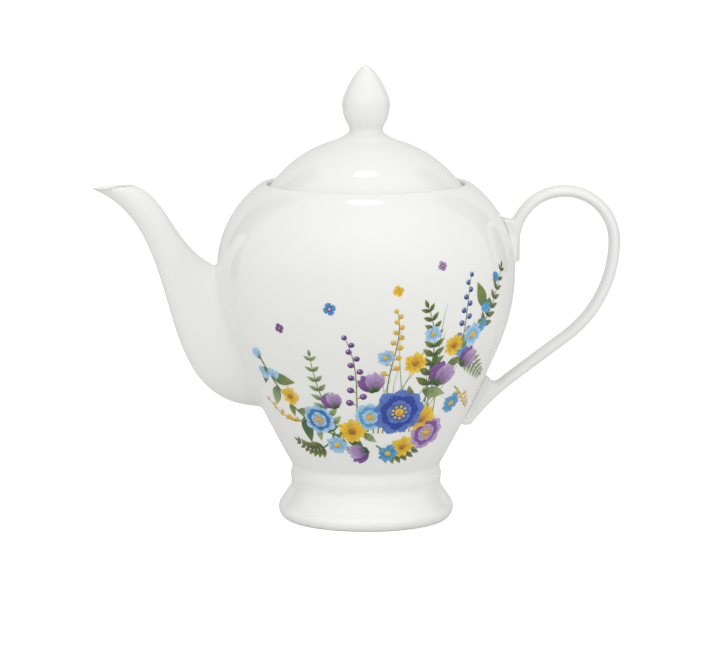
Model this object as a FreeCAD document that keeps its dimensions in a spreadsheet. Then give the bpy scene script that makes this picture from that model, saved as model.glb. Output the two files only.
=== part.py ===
"""Porcelain teapot on a pedestal foot, with a domed lid that lifts off.

Millimetres, +Z up. The origin is on the pot's axis, on the plane it stands on.
The spout points to -X and the handle to +X.
"""
import FreeCAD, Part
import math
import os
from types import SimpleNamespace

import Sketcher

SIZES = {
    # Foot: a round band under the pot and a flared skirt that stands on a flat ring
    "foot_height": 23.5,
    "foot_radius": 39.4,
    "foot_round": 5.6,
    "foot_land": 3.2,
    "foot_wall": 4.2,
    "band_height": 6.8,
    "band_step": 0.9,
    "band_curve": 9.0,
    # Pot: waist, flank, belly, shoulder and rim
    "waist_radius": 32.2,
    "flank_rise": 90.0,
    "flank_curve": 520.0,
    "belly_radius": 67.0,
    "belly_curve": 85.0,
    "shoulder_rise": 38.9,
    "rim_radius": 46.9,
    "pot_wall": 3.0,
    # Seat of the lid inside the rim
    "lip_width": 2.5,
    "lip_round": 0.8,
    "gallery_depth": 4.0,
    "ledge_width": 4.8,
    "ledge_thickness": 3.0,
    # Strainer holes behind the spout
    "strainer_drop": 28.5,
    "strainer_pitch": 9.0,
    "strainer_hole": 5.0,
    # Spout: its upper and lower lines, its widths and its wall
    "spout_upper_inset": 7.0,
    "spout_upper_drop": 1.5,
    "spout_upper_root_run": 27.9,
    "spout_upper_root_climb": 7.3,
    "spout_upper_tip_run": 18.1,
    "spout_upper_tip_climb": 6.9,
    "spout_lower_inset": 31.0,
    "spout_lower_drop": 61.5,
    "spout_lower_root_run": 68.3,
    "spout_lower_root_sag": 10.2,
    "spout_lower_tip_run": 48.5,
    "spout_lower_tip_climb": 19.5,
    "spout_reach": 55.5,
    "spout_tip_drop": 2.8,
    "spout_mouth_length": 17.6,
    "spout_mouth_rise": 1.4,
    "spout_mouth_width": 12.0,
    "spout_root_width": 38.0,
    "spout_wall": 2.2,
    # Handle: a flat strap that loops up, runs back down and lies on the flank
    "handle_width": 11.0,
    "handle_thickness": 5.3,
    "handle_set_in": 0.6,
    "handle_end_rise": 2.4,
    "handle_loop_rise": 12.7,
    "handle_loop_curve": 22.5,
    "handle_back_curve": 54.0,
    "handle_tail_curve": 110.0,
    "handle_tail_run": 27.46,
    "handle_tail_drop": 67.4,
    "handle_tail_lift": 1.9,
    # Lid: dome, edge, locating collar and steam vent
    "lid_gap": 0.8,
    "lid_edge": 1.8,
    "lid_edge_round": 0.6,
    "dome_rise": 22.0,
    "lid_wall": 2.8,
    "crown_rise": 2.1,
    "crown_radius": 8.4,
    "crown_curve": 40.0,
    "collar_gap": 0.6,
    "collar_depth": 9.0,
    "collar_wall": 2.6,
    "collar_round": 0.8,
    "vent_place": 21.0,
    "vent_hole": 3.0,
    # Knob: a bud on a short neck
    "knob_radius": 10.75,
    "knob_bulge_rise": 13.4,
    "knob_height": 30.7,
    "knob_neck_curve": 3.0,
    "knob_base_curve": 14.0,
    "knob_bulge_curve": 9.0,
    "knob_flank_curve": 35.0,
    "knob_tip_round": 3.5,
}

STRAINER_RING = 6
SPOUT_STATIONS = (0.0, 0.2, 0.4, 0.55, 0.68, 0.8, 0.9, 1.0)
SPOUT_LEAN = 2.5
SPOUT_TAPER = 2.0
OVAL_POLES = 8


class Size:
    """A number together with the sheet expression it comes from."""

    def __init__(self, value, text):
        self.value = value
        self.text = text

    def __add__(self, other):
        other = as_size(other)
        return Size(self.value + other.value, f"({self.text} + {other.text})")

    def __sub__(self, other):
        other = as_size(other)
        return Size(self.value - other.value, f"({self.text} - {other.text})")

    def __mul__(self, other):
        other = as_size(other)
        return Size(self.value * other.value, f"{self.text} * {other.text}")

    def __neg__(self):
        return Size(-self.value, f"(-1 * {self.text})")


def as_size(number):
    """Wrap a plain number so that it can stand beside sizes."""
    if isinstance(number, Size):
        return number
    return Size(float(number), f"{number:.6f}")


def share_of(whole, share):
    """A share of a size, or nothing where the share vanishes."""
    return whole * share if abs(share) > 1e-9 else nothing


doc = FreeCAD.newDocument("Teapot")
sheet = doc.addObject("Spreadsheet::Sheet", "Sizes")
for row, (alias, number) in enumerate(SIZES.items(), start=1):
    sheet.set(f"A{row}", alias)
    sheet.set(f"B{row}", str(number))
    sheet.setAlias(f"B{row}", alias)
doc.recompute()

size = SimpleNamespace(**{alias: Size(float(sheet.get(alias)), f"Sizes.{alias}") for alias in SIZES})
nothing = Size(0.0, "0")

# Levels and radii that several pieces share
belly_level = size.foot_height + size.flank_rise
rim_level = belly_level + size.shoulder_rise
ledge_level = rim_level - size.gallery_depth
gallery_radius = size.rim_radius - size.lip_width
mouth_radius = gallery_radius - size.ledge_width
lid_radius = gallery_radius - size.lid_gap
collar_radius = mouth_radius - size.collar_gap
lid_edge_level = ledge_level + size.lid_edge
crown_level = lid_edge_level + size.dome_rise + size.crown_rise


def new_body(name):
    """Add an empty body whose label is the sub-part's name."""
    body = doc.addObject("PartDesign::Body", name)
    body.Label = name
    return body


def new_sketch(body, name, role):
    """Add a sketch on one of the body's own origin planes."""
    sketch = body.newObject("Sketcher::SketchObject", name)
    plane = next(item for item in body.Origin.OriginFeatures if item.Role == role)
    sketch.AttachmentSupport = [(plane, "")]
    sketch.MapMode = "FlatFace"
    return sketch


def bind(sketch, kind, *where, to):
    """Add a dimension and tie it to a size."""
    index = sketch.addConstraint(Sketcher.Constraint(kind, *where, to.value))
    sketch.setExpression(f"Constraints[{index}]", to.text)


def pin(sketch, number, place, point):
    """Hold a point of a sketch wherever its coordinates are sizes."""
    axes = (("DistanceX", -2, point[0]), ("DistanceY", -1, point[1]))
    for kind, axis, where in axes:
        if where is nothing:
            sketch.addConstraint(Sketcher.Constraint("PointOnObject", number, place, axis))
        elif isinstance(where, Size):
            bind(sketch, kind, -1, 1, number, place, to=where)


def near(across, up):
    """First guess of a corner that the constraints then place."""
    return as_size(across).value, as_size(up).value


def flat(point):
    """A point of a sketch as a vector."""
    return FreeCAD.Vector(as_size(point[0]).value, as_size(point[1]).value, 0)


class Outline:
    """A chain of lines and arcs in a sketch.

    A corner given as two sizes is held there. One given as two numbers is a first guess that
    the constraints then place.
    """

    def __init__(self, sketch, start, construction=False):
        self.sketch = sketch
        self.construction = construction
        self.corner = start
        self.first = None
        self.last = None
        self.start = start

    def line_to(self, end, smooth=False):
        """Draw a line to the next corner and return its number."""
        return self.add(Part.LineSegment(flat(self.corner), flat(end)), end, smooth)

    def arc_to(self, end, bulge, smooth=False):
        """Draw an arc that stands out by about bulge to the left of its chord."""
        begin = flat(self.corner)
        chord = flat(end) - begin
        side = FreeCAD.Vector(-chord.y, chord.x, 0).normalize()
        middle = begin + chord * 0.5 + side * bulge
        return self.add(Part.Arc(begin, middle, flat(end)), end, smooth)

    def add(self, curve, end, smooth):
        """Put the curve in the sketch and join it to the one before."""
        number = self.sketch.addGeometry(curve, self.construction)
        begin = flat(self.corner)
        forward = self.sketch.getPoint(number, 1).distanceToPoint(begin) < 1e-6
        head, tail = (1, 2) if forward else (2, 1)
        if self.last is None:
            self.first = (number, head)
            pin(self.sketch, number, head, self.start)
        else:
            kind = "Tangent" if smooth else "Coincident"
            self.sketch.addConstraint(Sketcher.Constraint(kind, *self.last, number, head))
        pin(self.sketch, number, tail, end)
        self.last = (number, tail)
        self.corner = end
        return number

    def close(self):
        """Draw the line back to the first corner."""
        number = self.sketch.addGeometry(Part.LineSegment(flat(self.corner), flat(self.start)), False)
        self.sketch.addConstraint(Sketcher.Constraint("Coincident", *self.last, number, 1))
        self.sketch.addConstraint(Sketcher.Constraint("Coincident", number, 2, *self.first))

    def centre_level(self, number, level):
        """Hold the height of an arc's centre."""
        bind(self.sketch, "DistanceY", -1, 1, number, 3, to=level)

    def centre_on_axis(self, number):
        """Hold an arc's centre on the sketch's vertical axis."""
        self.sketch.addConstraint(Sketcher.Constraint("PointOnObject", number, 3, -2))

    def same_centre(self, number, other):
        """Make two arcs concentric."""
        self.sketch.addConstraint(Sketcher.Constraint("Coincident", number, 3, other, 3))

    def radius(self, number, to):
        """Set an arc's radius."""
        bind(self.sketch, "Radius", number, to=to)


def revolve(body, sketch):
    """Turn a sketch about the upright axis."""
    turned = body.newObject("PartDesign::Revolution", f"{sketch.Name}_turned")
    turned.Profile = sketch
    turned.ReferenceAxis = (sketch, ["V_Axis"])
    turned.Angle = 360
    return turned


def ring_edge(feature, radius, level):
    """Name of the feature's circular edge with this radius at this level."""
    for number, edge in enumerate(feature.Shape.Edges, start=1):
        curve = edge.Curve
        if not isinstance(curve, Part.Circle):
            continue
        if abs(curve.Radius - radius.value) < 1e-3 and abs(curve.Center.z - level.value) < 1e-3:
            return f"Edge{number}"
    raise ValueError(f"{feature.Name} has no ring of radius {radius.value} at {level.value}")


def round_rings(body, name, rings, radius):
    """Round the circular edges given as radius and level."""
    doc.recompute()
    base = body.Tip
    rounded = body.newObject("PartDesign::Fillet", name)
    rounded.Base = (base, [ring_edge(base, *ring) for ring in rings])
    rounded.setExpression("Radius", radius.text)
    return rounded


def draw_pot_outside(sketch, construction=False):
    """Draw the pot's outer line from the rim down to the waist."""
    outline = Outline(sketch, (size.rim_radius, rim_level), construction)
    shoulder = outline.arc_to((size.belly_radius, belly_level), bulge=5.3)
    belly = outline.arc_to(near(size.belly_radius * 0.91, belly_level * 0.714), bulge=1.5)
    flank = outline.arc_to((size.waist_radius, size.foot_height), bulge=1.0, smooth=True)
    outline.centre_level(shoulder, belly_level)
    outline.centre_level(belly, belly_level)
    outline.radius(belly, size.belly_curve)
    outline.radius(flank, size.flank_curve)
    return SimpleNamespace(outline=outline, shoulder=shoulder, belly=belly, flank=flank)


def make_pot_envelope():
    """Make the pot's outer form as one solid, which trims the spout and the handle."""
    body = new_body("pot_envelope")
    sketch = new_sketch(body, "envelope_outline", "XZ_Plane")
    outline = draw_pot_outside(sketch).outline
    outline.line_to((nothing, size.foot_height))
    outline.line_to((nothing, rim_level))
    outline.close()
    revolve(body, sketch)
    return body


def make_pot_body():
    """Make the hollow pot with the lid's seat in its rim and the strainer behind the spout."""
    body = new_body("pot_body")
    sketch = new_sketch(body, "pot_outline", "XZ_Plane")
    outside = draw_pot_outside(sketch)
    outline = outside.outline
    floor_level = size.foot_height + size.pot_wall
    inner_belly = size.belly_radius - size.pot_wall
    ledge_under = ledge_level - size.ledge_thickness
    outline.line_to((nothing, size.foot_height))
    outline.line_to((nothing, floor_level))
    outline.line_to((size.waist_radius.value - size.pot_wall.value * 0.6, floor_level))
    flank = outline.arc_to(near(size.belly_radius * 0.87, belly_level * 0.722), bulge=-1.0)
    belly = outline.arc_to((inner_belly, belly_level), bulge=-1.5, smooth=True)
    shoulder = outline.arc_to((size.rim_radius.value * 1.087, ledge_under), bulge=-5.0)
    outline.same_centre(flank, outside.flank)
    outline.same_centre(belly, outside.belly)
    outline.same_centre(shoulder, outside.shoulder)
    outline.line_to((mouth_radius, ledge_under))
    outline.line_to((mouth_radius, ledge_level))
    outline.line_to((gallery_radius, ledge_level))
    outline.line_to((gallery_radius, rim_level))
    outline.close()
    revolve(body, sketch)
    lip = [(size.rim_radius, rim_level), (gallery_radius, rim_level), (mouth_radius, ledge_level)]
    round_rings(body, "lip_rounds", lip, size.lip_round)
    cut_strainer(body)
    return body


def cut_strainer(body):
    """Cut the strainer: one hole in the middle and a ring of holes around it."""
    sketch = new_sketch(body, "strainer_holes", "YZ_Plane")
    level = belly_level - size.strainer_drop
    for number in range(STRAINER_RING + 1):
        turn = 2 * math.pi * number / STRAINER_RING
        spread = 0 if number == STRAINER_RING else 1
        across = share_of(size.strainer_pitch, spread * math.cos(turn))
        up = level + share_of(size.strainer_pitch, spread * math.sin(turn))
        circle = Part.Circle(flat((across, up)), FreeCAD.Vector(0, 0, 1), size.strainer_hole.value / 2)
        hole = sketch.addGeometry(circle, False)
        bind(sketch, "Diameter", hole, to=size.strainer_hole)
        pin(sketch, hole, 3, (across, up))
    doc.recompute()
    before = body.Tip.Shape.Volume
    pocket = body.newObject("PartDesign::Pocket", "strainer")
    pocket.Profile = sketch
    pocket.Type = "Length"
    pocket.setExpression("Length", size.belly_radius.text)
    doc.recompute()
    if pocket.Shape.Volume >= before:
        raise ValueError("the strainer cut nothing")


def make_foot():
    """Make the hollow pedestal: a round band, a flared skirt and a flat ring to stand on."""
    body = new_body("foot")
    sketch = new_sketch(body, "foot_outline", "XZ_Plane")
    band_radius = size.waist_radius + size.band_step
    inner_radius = size.waist_radius - size.foot_wall
    land_outer = size.foot_radius - size.foot_round
    outline = Outline(sketch, (inner_radius, size.foot_height))
    outline.line_to((band_radius, size.foot_height))
    bead = outline.arc_to((band_radius, size.foot_height - size.band_height), bulge=0.6)
    outline.line_to(near(size.foot_radius * 0.99, size.foot_round * 1.34))
    rounding = outline.arc_to((land_outer, nothing), bulge=1.8, smooth=True)
    outline.radius(bead, size.band_curve)
    outline.radius(rounding, size.foot_round)
    outline.centre_level(rounding, size.foot_round)
    outline.line_to((land_outer - size.foot_land, nothing))
    outline.close()
    revolve(body, sketch)
    return body


def bezier(points, share):
    """Point at this share of the way along a cubic curve given by its four control points."""
    rest = 1 - share
    weights = (rest**3, 3 * rest**2 * share, 3 * rest * share**2, share**3)
    across = nothing
    up = nothing
    for weight, point in zip(weights, points):
        across = across + point[0] * weight
        up = up + point[1] * weight
    return across, up


def spout_lines():
    """Control points of the spout's upper and lower side lines, from the root to the mouth."""
    upper_root = (size.spout_upper_inset - size.belly_radius, belly_level - size.spout_upper_drop)
    lower_root = (size.spout_lower_inset - size.belly_radius, belly_level - size.spout_lower_drop)
    lip = (-(size.belly_radius + size.spout_reach), rim_level - size.spout_tip_drop)
    heel = (lip[0] + size.spout_mouth_length, lip[1] + size.spout_mouth_rise)
    upper = (
        upper_root,
        (upper_root[0] - size.spout_upper_root_run, upper_root[1] + size.spout_upper_root_climb),
        (heel[0] + size.spout_upper_tip_run, heel[1] - size.spout_upper_tip_climb),
        heel,
    )
    lower = (
        lower_root,
        (lower_root[0] - size.spout_lower_root_run, lower_root[1] - size.spout_lower_root_sag),
        (lip[0] + size.spout_lower_tip_run, lip[1] - size.spout_lower_tip_climb),
        lip,
    )
    return upper, lower


def oval_poles(length, width):
    """Poles of a closed cubic curve close to an ellipse, evenly turned from the long axis."""
    step = 2 * math.pi / OVAL_POLES
    half = 1.5 / (2 + math.cos(step))
    turns = [(number - 1) * step for number in range(OVAL_POLES)]
    shares = [(half * math.cos(turn), half * math.sin(turn)) for turn in turns]
    return [(share_of(length, along), share_of(width, across)) for along, across in shares]


def draw_oval(sketch, length, width):
    """Draw an oval about the sketch's origin and hold each of its poles."""
    poles = oval_poles(length, width)
    knots = list(range(OVAL_POLES + 1))
    curve = Part.BSplineCurve()
    curve.buildFromPolesMultsKnots([flat(pole) for pole in poles], [1] * len(knots), knots, True, 3)
    oval = sketch.addGeometry(curve, False)
    sketch.exposeInternalGeometry(oval)
    for number, pole in enumerate(poles, start=oval + 1):
        pin(sketch, number, 3, pole)


def spout_row(share, wall):
    """Poles of the spout's oval section at this share of the way to the mouth, drawn in by a wall."""
    upper, lower = spout_lines()
    top = flat(bezier(upper, share**SPOUT_LEAN))
    bottom = flat(bezier(lower, share))
    middle = (top + bottom) * 0.5
    along = top - bottom
    length = along.Length - 2 * wall
    along.normalize()
    widening = (1 - share) ** SPOUT_TAPER
    width = size.spout_mouth_width + (size.spout_root_width - size.spout_mouth_width) * widening - 2 * wall
    row = []
    for pole in oval_poles(as_size(length), width):
        place = middle + along * pole[0].value
        row.append(FreeCAD.Vector(place.x, pole[1].value, place.y))
    return row


def spout_skin(wall):
    """Closed smooth solid through the spout's sections."""
    rows = [spout_row(share, wall) for share in SPOUT_STATIONS]
    columns = []
    for column in zip(*rows):
        curve = Part.BSplineCurve()
        curve.interpolate(Points=list(column), Parameters=list(SPOUT_STATIONS))
        columns.append(curve)
    poles = [list(row) for row in zip(*(curve.getPoles() for curve in columns))]
    around = list(range(OVAL_POLES + 1))
    surface = Part.BSplineSurface()
    surface.buildFromPolesMultsKnots(
        poles,
        columns[0].getMultiplicities(),
        [1] * len(around),
        columns[0].getKnots(),
        around,
        False,
        True,
        3,
        3,
    )
    skin = surface.toShape()
    rims = [edge for edge in skin.Edges if edge.isClosed() and not edge.isSeam(skin)]
    caps = [Part.Face(Part.Wire(edge)) for edge in rims]
    shell = Part.Shell([skin] + caps)
    shell.sewShape()
    solid = Part.Solid(shell)
    if solid.Volume < 0:
        solid.reverse()
    return solid


def make_spout(envelope):
    """Make the hollow curved spout, cut where it meets the pot."""
    form = doc.addObject("Part::Feature", "spout_form")
    form.Shape = spout_skin(0.0)
    bore = doc.addObject("Part::Feature", "spout_bore")
    bore.Shape = spout_skin(size.spout_wall.value)
    tube = cut("spout_tube", form, bore)
    return cut("spout", tube, envelope)


def make_handle(envelope):
    """Make the strap handle along its path, cut where its ends lie on the pot."""
    body = new_body("handle_strap")
    start_level = belly_level + size.handle_end_rise
    loop_level = belly_level + size.handle_loop_rise
    start_radius = size.belly_radius - size.handle_set_in
    path = new_sketch(body, "handle_path", "XZ_Plane")
    outside = draw_pot_outside(path, construction=True)
    line = Outline(path, (start_radius, start_level))
    line.line_to((start_radius, loop_level))
    far_radius = start_radius + size.handle_loop_curve * 2
    tail_level = belly_level - size.handle_tail_drop
    tail_head = near(size.belly_radius, tail_level + size.handle_tail_run * 0.7)
    loop = line.arc_to((far_radius.value, loop_level), bulge=size.handle_loop_curve.value, smooth=True)
    back_end = near(far_radius - size.handle_back_curve * 0.4, loop_level - size.handle_back_curve * 0.8)
    back = line.arc_to(back_end, bulge=6.0, smooth=True)
    line.line_to(tail_head, smooth=True)
    tail = line.arc_to((size.belly_radius.value * 0.7, tail_level), bulge=-0.9, smooth=True)
    line.radius(loop, size.handle_loop_curve)
    line.radius(back, size.handle_back_curve)
    line.radius(tail, size.handle_tail_curve)
    bind(path, "Distance", tail, 1, tail, 2, to=size.handle_tail_run)
    bed_radius = size.flank_curve + size.handle_tail_lift
    flank_centre = path.getPoint(outside.flank, 3)
    bed = path.addGeometry(Part.Circle(flank_centre, FreeCAD.Vector(0, 0, 1), bed_radius.value), True)
    path.addConstraint(Sketcher.Constraint("Coincident", bed, 3, outside.flank, 3))
    bind(path, "Radius", bed, to=bed_radius)
    path.addConstraint(Sketcher.Constraint("PointOnObject", *line.last, bed))
    section = new_sketch(body, "handle_section", "XY_Plane")
    section.setExpression("AttachmentOffset.Base.x", start_radius.text)
    section.setExpression("AttachmentOffset.Base.z", start_level.text)
    draw_oval(section, size.handle_thickness, size.handle_width)
    strap = body.newObject("PartDesign::AdditivePipe", "handle_form")
    strap.Profile = section
    strap.Spine = path
    return cut("handle", body, envelope)


def cut(name, base, tool):
    """Take one solid away from another."""
    result = doc.addObject("Part::Cut", name)
    result.Label = name
    result.Base = base
    result.Tool = tool
    return result


def make_lid():
    """Make the domed lid with its edge, locating collar and steam vent."""
    body = new_body("lid")
    sketch = new_sketch(body, "lid_outline", "XZ_Plane")
    collar_bottom = ledge_level - size.collar_depth
    collar_inner = collar_radius - size.collar_wall
    outline = Outline(sketch, (nothing, crown_level))
    outline.line_to((size.crown_radius, crown_level))
    crown_end = near(size.crown_radius * 2.17, lid_edge_level + size.dome_rise * 0.86)
    crown = outline.arc_to(crown_end, bulge=-0.5)
    dome = outline.arc_to((lid_radius, lid_edge_level), bulge=2.5, smooth=True)
    outline.line_to((lid_radius, ledge_level))
    outline.line_to((collar_radius, ledge_level))
    outline.line_to((collar_radius, collar_bottom))
    outline.line_to((collar_inner, collar_bottom))
    outline.line_to((collar_inner, (lid_edge_level + size.dome_rise * 0.17).value))
    under = outline.arc_to((nothing, lid_edge_level + size.dome_rise - size.lid_wall), bulge=-3.0)
    outline.close()
    outline.radius(crown, size.crown_curve)
    outline.centre_on_axis(dome)
    outline.same_centre(under, dome)
    top = sketch.addGeometry(Part.Point(flat((0.0, lid_edge_level + size.dome_rise))), True)
    pin(sketch, top, 1, (nothing, lid_edge_level + size.dome_rise))
    sketch.addConstraint(Sketcher.Constraint("PointOnObject", top, 1, dome))
    revolve(body, sketch)
    round_rings(body, "lid_edge_rounding", [(lid_radius, lid_edge_level)], size.lid_edge_round)
    rims = [(collar_radius, collar_bottom), (collar_inner, collar_bottom)]
    round_rings(body, "collar_rounding", rims, size.collar_round)
    cut_vent(body)
    return body


def cut_vent(body):
    """Cut the steam vent through the dome, on the side away from the viewer."""
    sketch = new_sketch(body, "vent_outline", "XY_Plane")
    circle = Part.Circle(flat((0.0, size.vent_place)), FreeCAD.Vector(0, 0, 1), size.vent_hole.value / 2)
    hole = sketch.addGeometry(circle, False)
    bind(sketch, "Diameter", hole, to=size.vent_hole)
    pin(sketch, hole, 3, (nothing, size.vent_place))
    doc.recompute()
    before = body.Tip.Shape.Volume
    vent = body.newObject("PartDesign::Pocket", "vent")
    vent.Profile = sketch
    vent.Type = "ThroughAll"
    vent.Midplane = True
    doc.recompute()
    if vent.Shape.Volume >= before:
        raise ValueError("the vent cut nothing")


def make_lid_knob():
    """Make the bud-shaped knob that stands on the lid's crown."""
    body = new_body("lid_knob")
    sketch = new_sketch(body, "knob_outline", "XZ_Plane")
    bulge_level = crown_level + size.knob_bulge_rise
    top_level = crown_level + size.knob_height
    outline = Outline(sketch, (nothing, crown_level))
    outline.line_to((size.crown_radius, crown_level))
    neck_end = near(size.crown_radius * 0.93, crown_level + size.knob_neck_curve * 1.57)
    neck = outline.arc_to(neck_end, bulge=0.9)
    base = outline.arc_to((size.knob_radius, bulge_level), bulge=-0.8, smooth=True)
    bulge_end = near(size.knob_radius * 0.89, bulge_level + size.knob_bulge_curve * 0.5)
    bulge = outline.arc_to(bulge_end, bulge=-0.3, smooth=True)
    flank_end = near(size.knob_tip_round * 0.83, top_level - size.knob_tip_round * 0.46)
    flank = outline.arc_to(flank_end, bulge=-0.5, smooth=True)
    tip = outline.arc_to((nothing, top_level), bulge=-0.5, smooth=True)
    outline.close()
    outline.radius(neck, size.knob_neck_curve)
    outline.radius(base, size.knob_base_curve)
    outline.centre_level(base, bulge_level)
    outline.radius(bulge, size.knob_bulge_curve)
    outline.radius(flank, size.knob_flank_curve)
    outline.radius(tip, size.knob_tip_round)
    outline.centre_on_axis(tip)
    revolve(body, sketch)
    return body


def check_document():
    """Stop if any object failed to build."""
    for item in doc.Objects:
        if {"Invalid", "Error"} & set(item.State):
            raise ValueError(f"{item.Name} failed: {item.State}")
        shape = getattr(item, "Shape", None)
        if shape is not None and item.isDerivedFrom("PartDesign::Feature"):
            if shape.isNull() or not shape.isValid():
                raise ValueError(f"{item.Name} has no valid shape")


def export(pieces):
    """Write each sub-part to its own file."""
    os.makedirs("parts", exist_ok=True)
    for piece in pieces:
        shape = piece.Shape
        if shape.isNull() or not shape.isValid() or len(shape.Solids) != 1:
            raise ValueError(f"{piece.Label} is not one valid solid")
        shape.exportStep(f"parts/{piece.Label}.step")
        print(f"{piece.Label}: {shape.Volume / 1000:.1f} cm3")


envelope = make_pot_envelope()
pieces = [
    make_pot_body(),
    make_foot(),
    make_spout(envelope),
    make_handle(envelope),
    make_lid(),
    make_lid_knob(),
]
doc.recompute()
check_document()
export(pieces)
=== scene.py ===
"""Dressed model of a glazed porcelain teapot: smooth pieces, a painted flower garland and a plain studio."""

import logging
import math
from collections.abc import Sequence
from dataclasses import dataclass, field
from enum import Enum

import bpy
import numpy as np
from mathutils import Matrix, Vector


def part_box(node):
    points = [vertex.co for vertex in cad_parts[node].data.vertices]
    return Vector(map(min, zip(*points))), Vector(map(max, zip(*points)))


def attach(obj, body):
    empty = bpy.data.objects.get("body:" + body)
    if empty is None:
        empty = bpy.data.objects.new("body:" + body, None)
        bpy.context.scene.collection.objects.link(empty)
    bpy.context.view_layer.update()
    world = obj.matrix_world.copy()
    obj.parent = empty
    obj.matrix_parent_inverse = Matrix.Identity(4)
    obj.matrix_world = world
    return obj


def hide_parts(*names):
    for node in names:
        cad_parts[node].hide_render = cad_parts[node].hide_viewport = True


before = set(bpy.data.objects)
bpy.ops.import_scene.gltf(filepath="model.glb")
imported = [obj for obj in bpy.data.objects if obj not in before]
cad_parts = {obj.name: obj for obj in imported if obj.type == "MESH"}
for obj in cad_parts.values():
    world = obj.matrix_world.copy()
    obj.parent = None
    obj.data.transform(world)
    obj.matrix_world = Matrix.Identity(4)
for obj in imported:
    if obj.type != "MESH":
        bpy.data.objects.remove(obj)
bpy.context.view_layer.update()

LOG = logging.getLogger("teapot")

Point = tuple[float, float]
Place = tuple[float, float, float]
Colour = tuple[float, float, float]


class Slot(Enum):
    """Names of the material slots for the glaze and the floral transfer."""

    GLAZE = "white_glaze"
    TRANSFER = "floral_transfer"


class Body(Enum):
    """Bodies that the pieces ride on."""

    POT = "pot"
    LID = "lid"


class Drilling(Enum):
    """Ways that a drill points, as the turn of its cylinder."""

    LEVEL = (0.0, math.pi / 2, 0.0)
    UPRIGHT = (0.0, 0.0, 0.0)


@dataclass(frozen=True)
class Corner:
    """A corner of a turned outline.

    Attributes:
        radius: Distance from the axis, in metres.
        level: Height above the table, in metres.
        rounding: Radius that softens the corner, or 0 where the line is smooth or sharp.
    """

    radius: float
    level: float
    rounding: float = 0.0


def arc(centre: Point, radius: float, start: float, end: float, count: int) -> list[Corner]:
    """Sample an arc of a turned outline.

    Args:
        centre: Centre of the arc, as radius and level.
        radius: Radius of the arc.
        start: First angle, in radians from the outward direction.
        end: Last angle.
        count: Number of points.

    Returns:
        The points in order, both ends included.
    """
    turns = np.linspace(start, end, count)
    return [Corner(centre[0] + radius * math.cos(a), centre[1] + radius * math.sin(a)) for a in turns]


def angle_at(centre: Point, point: Point) -> float:
    """Angle of a point about a centre, in radians."""
    return math.atan2(point[1] - centre[1], point[0] - centre[0])


def pointing(angle: float) -> Vector:
    """Unit vector at an angle, as run and level."""
    return Vector((math.cos(angle), math.sin(angle)))


def bezier(points: Sequence[Vector], share: float) -> Vector:
    """Point at a share of the way along a cubic curve.

    Args:
        points: The four control points.
        share: How far along, from 0 to 1.

    Returns:
        The point.
    """
    rest = 1 - share
    return (
        points[0] * rest**3
        + points[1] * (3 * rest**2 * share)
        + points[2] * (3 * rest * share**2)
        + points[3] * share**3
    )


def meeting(first: Point, first_radius: float, second: Point, second_radius: float, side: int) -> Point:
    """Find where two circles cross.

    Args:
        first: Centre of the first circle.
        first_radius: Its radius.
        second: Centre of the second circle.
        second_radius: Its radius.
        side: 1 for the crossing to the left of the line from first to second, -1 for the other.

    Returns:
        The crossing.
    """
    run = Vector((second[0] - first[0], second[1] - first[1]))
    gap = run.length
    along = (gap**2 + first_radius**2 - second_radius**2) / (2 * gap)
    across = math.sqrt(max(first_radius**2 - along**2, 0.0)) * side
    unit = run / gap
    return (first[0] + unit.x * along - unit.y * across, first[1] + unit.y * along + unit.x * across)


def soften(corners: Sequence[Corner], steps: int = 5) -> list[Point]:
    """Round the corners of an outline that ask for it.

    Args:
        corners: The outline.
        steps: Points that a rounded corner gets.

    Returns:
        The outline as plain points.
    """
    points: list[Point] = []
    for number, corner in enumerate(corners):
        here = Vector((corner.radius, corner.level))
        if corner.rounding <= 0.0 or number in (0, len(corners) - 1):
            points.append((here.x, here.y))
            continue
        before = Vector((corners[number - 1].radius, corners[number - 1].level)) - here
        after = Vector((corners[number + 1].radius, corners[number + 1].level)) - here
        reach = min(corner.rounding, before.length * 0.48, after.length * 0.48)
        start = here + before.normalized() * reach
        end = here + after.normalized() * reach
        for step in np.linspace(0.0, 1.0, steps):
            blend = start * (1 - step) ** 2 + here * (2 * step * (1 - step)) + end * step**2
            points.append((blend.x, blend.y))
    return points


def start_editing(piece: bpy.types.Object) -> None:
    """Open a piece for editing with all of it selected.

    Args:
        piece: The piece.
    """
    bpy.context.view_layer.objects.active = piece
    bpy.ops.object.mode_set(mode="EDIT")
    bpy.ops.mesh.select_all(action="SELECT")


def tidy_mesh() -> None:
    """Merge doubles, turn the faces outward and leave edit mode."""
    bpy.ops.mesh.select_all(action="SELECT")
    bpy.ops.mesh.remove_doubles(threshold=1e-6)
    bpy.ops.mesh.normals_make_consistent(inside=False)
    bpy.ops.object.mode_set(mode="OBJECT")
    bpy.ops.object.shade_smooth()


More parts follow.
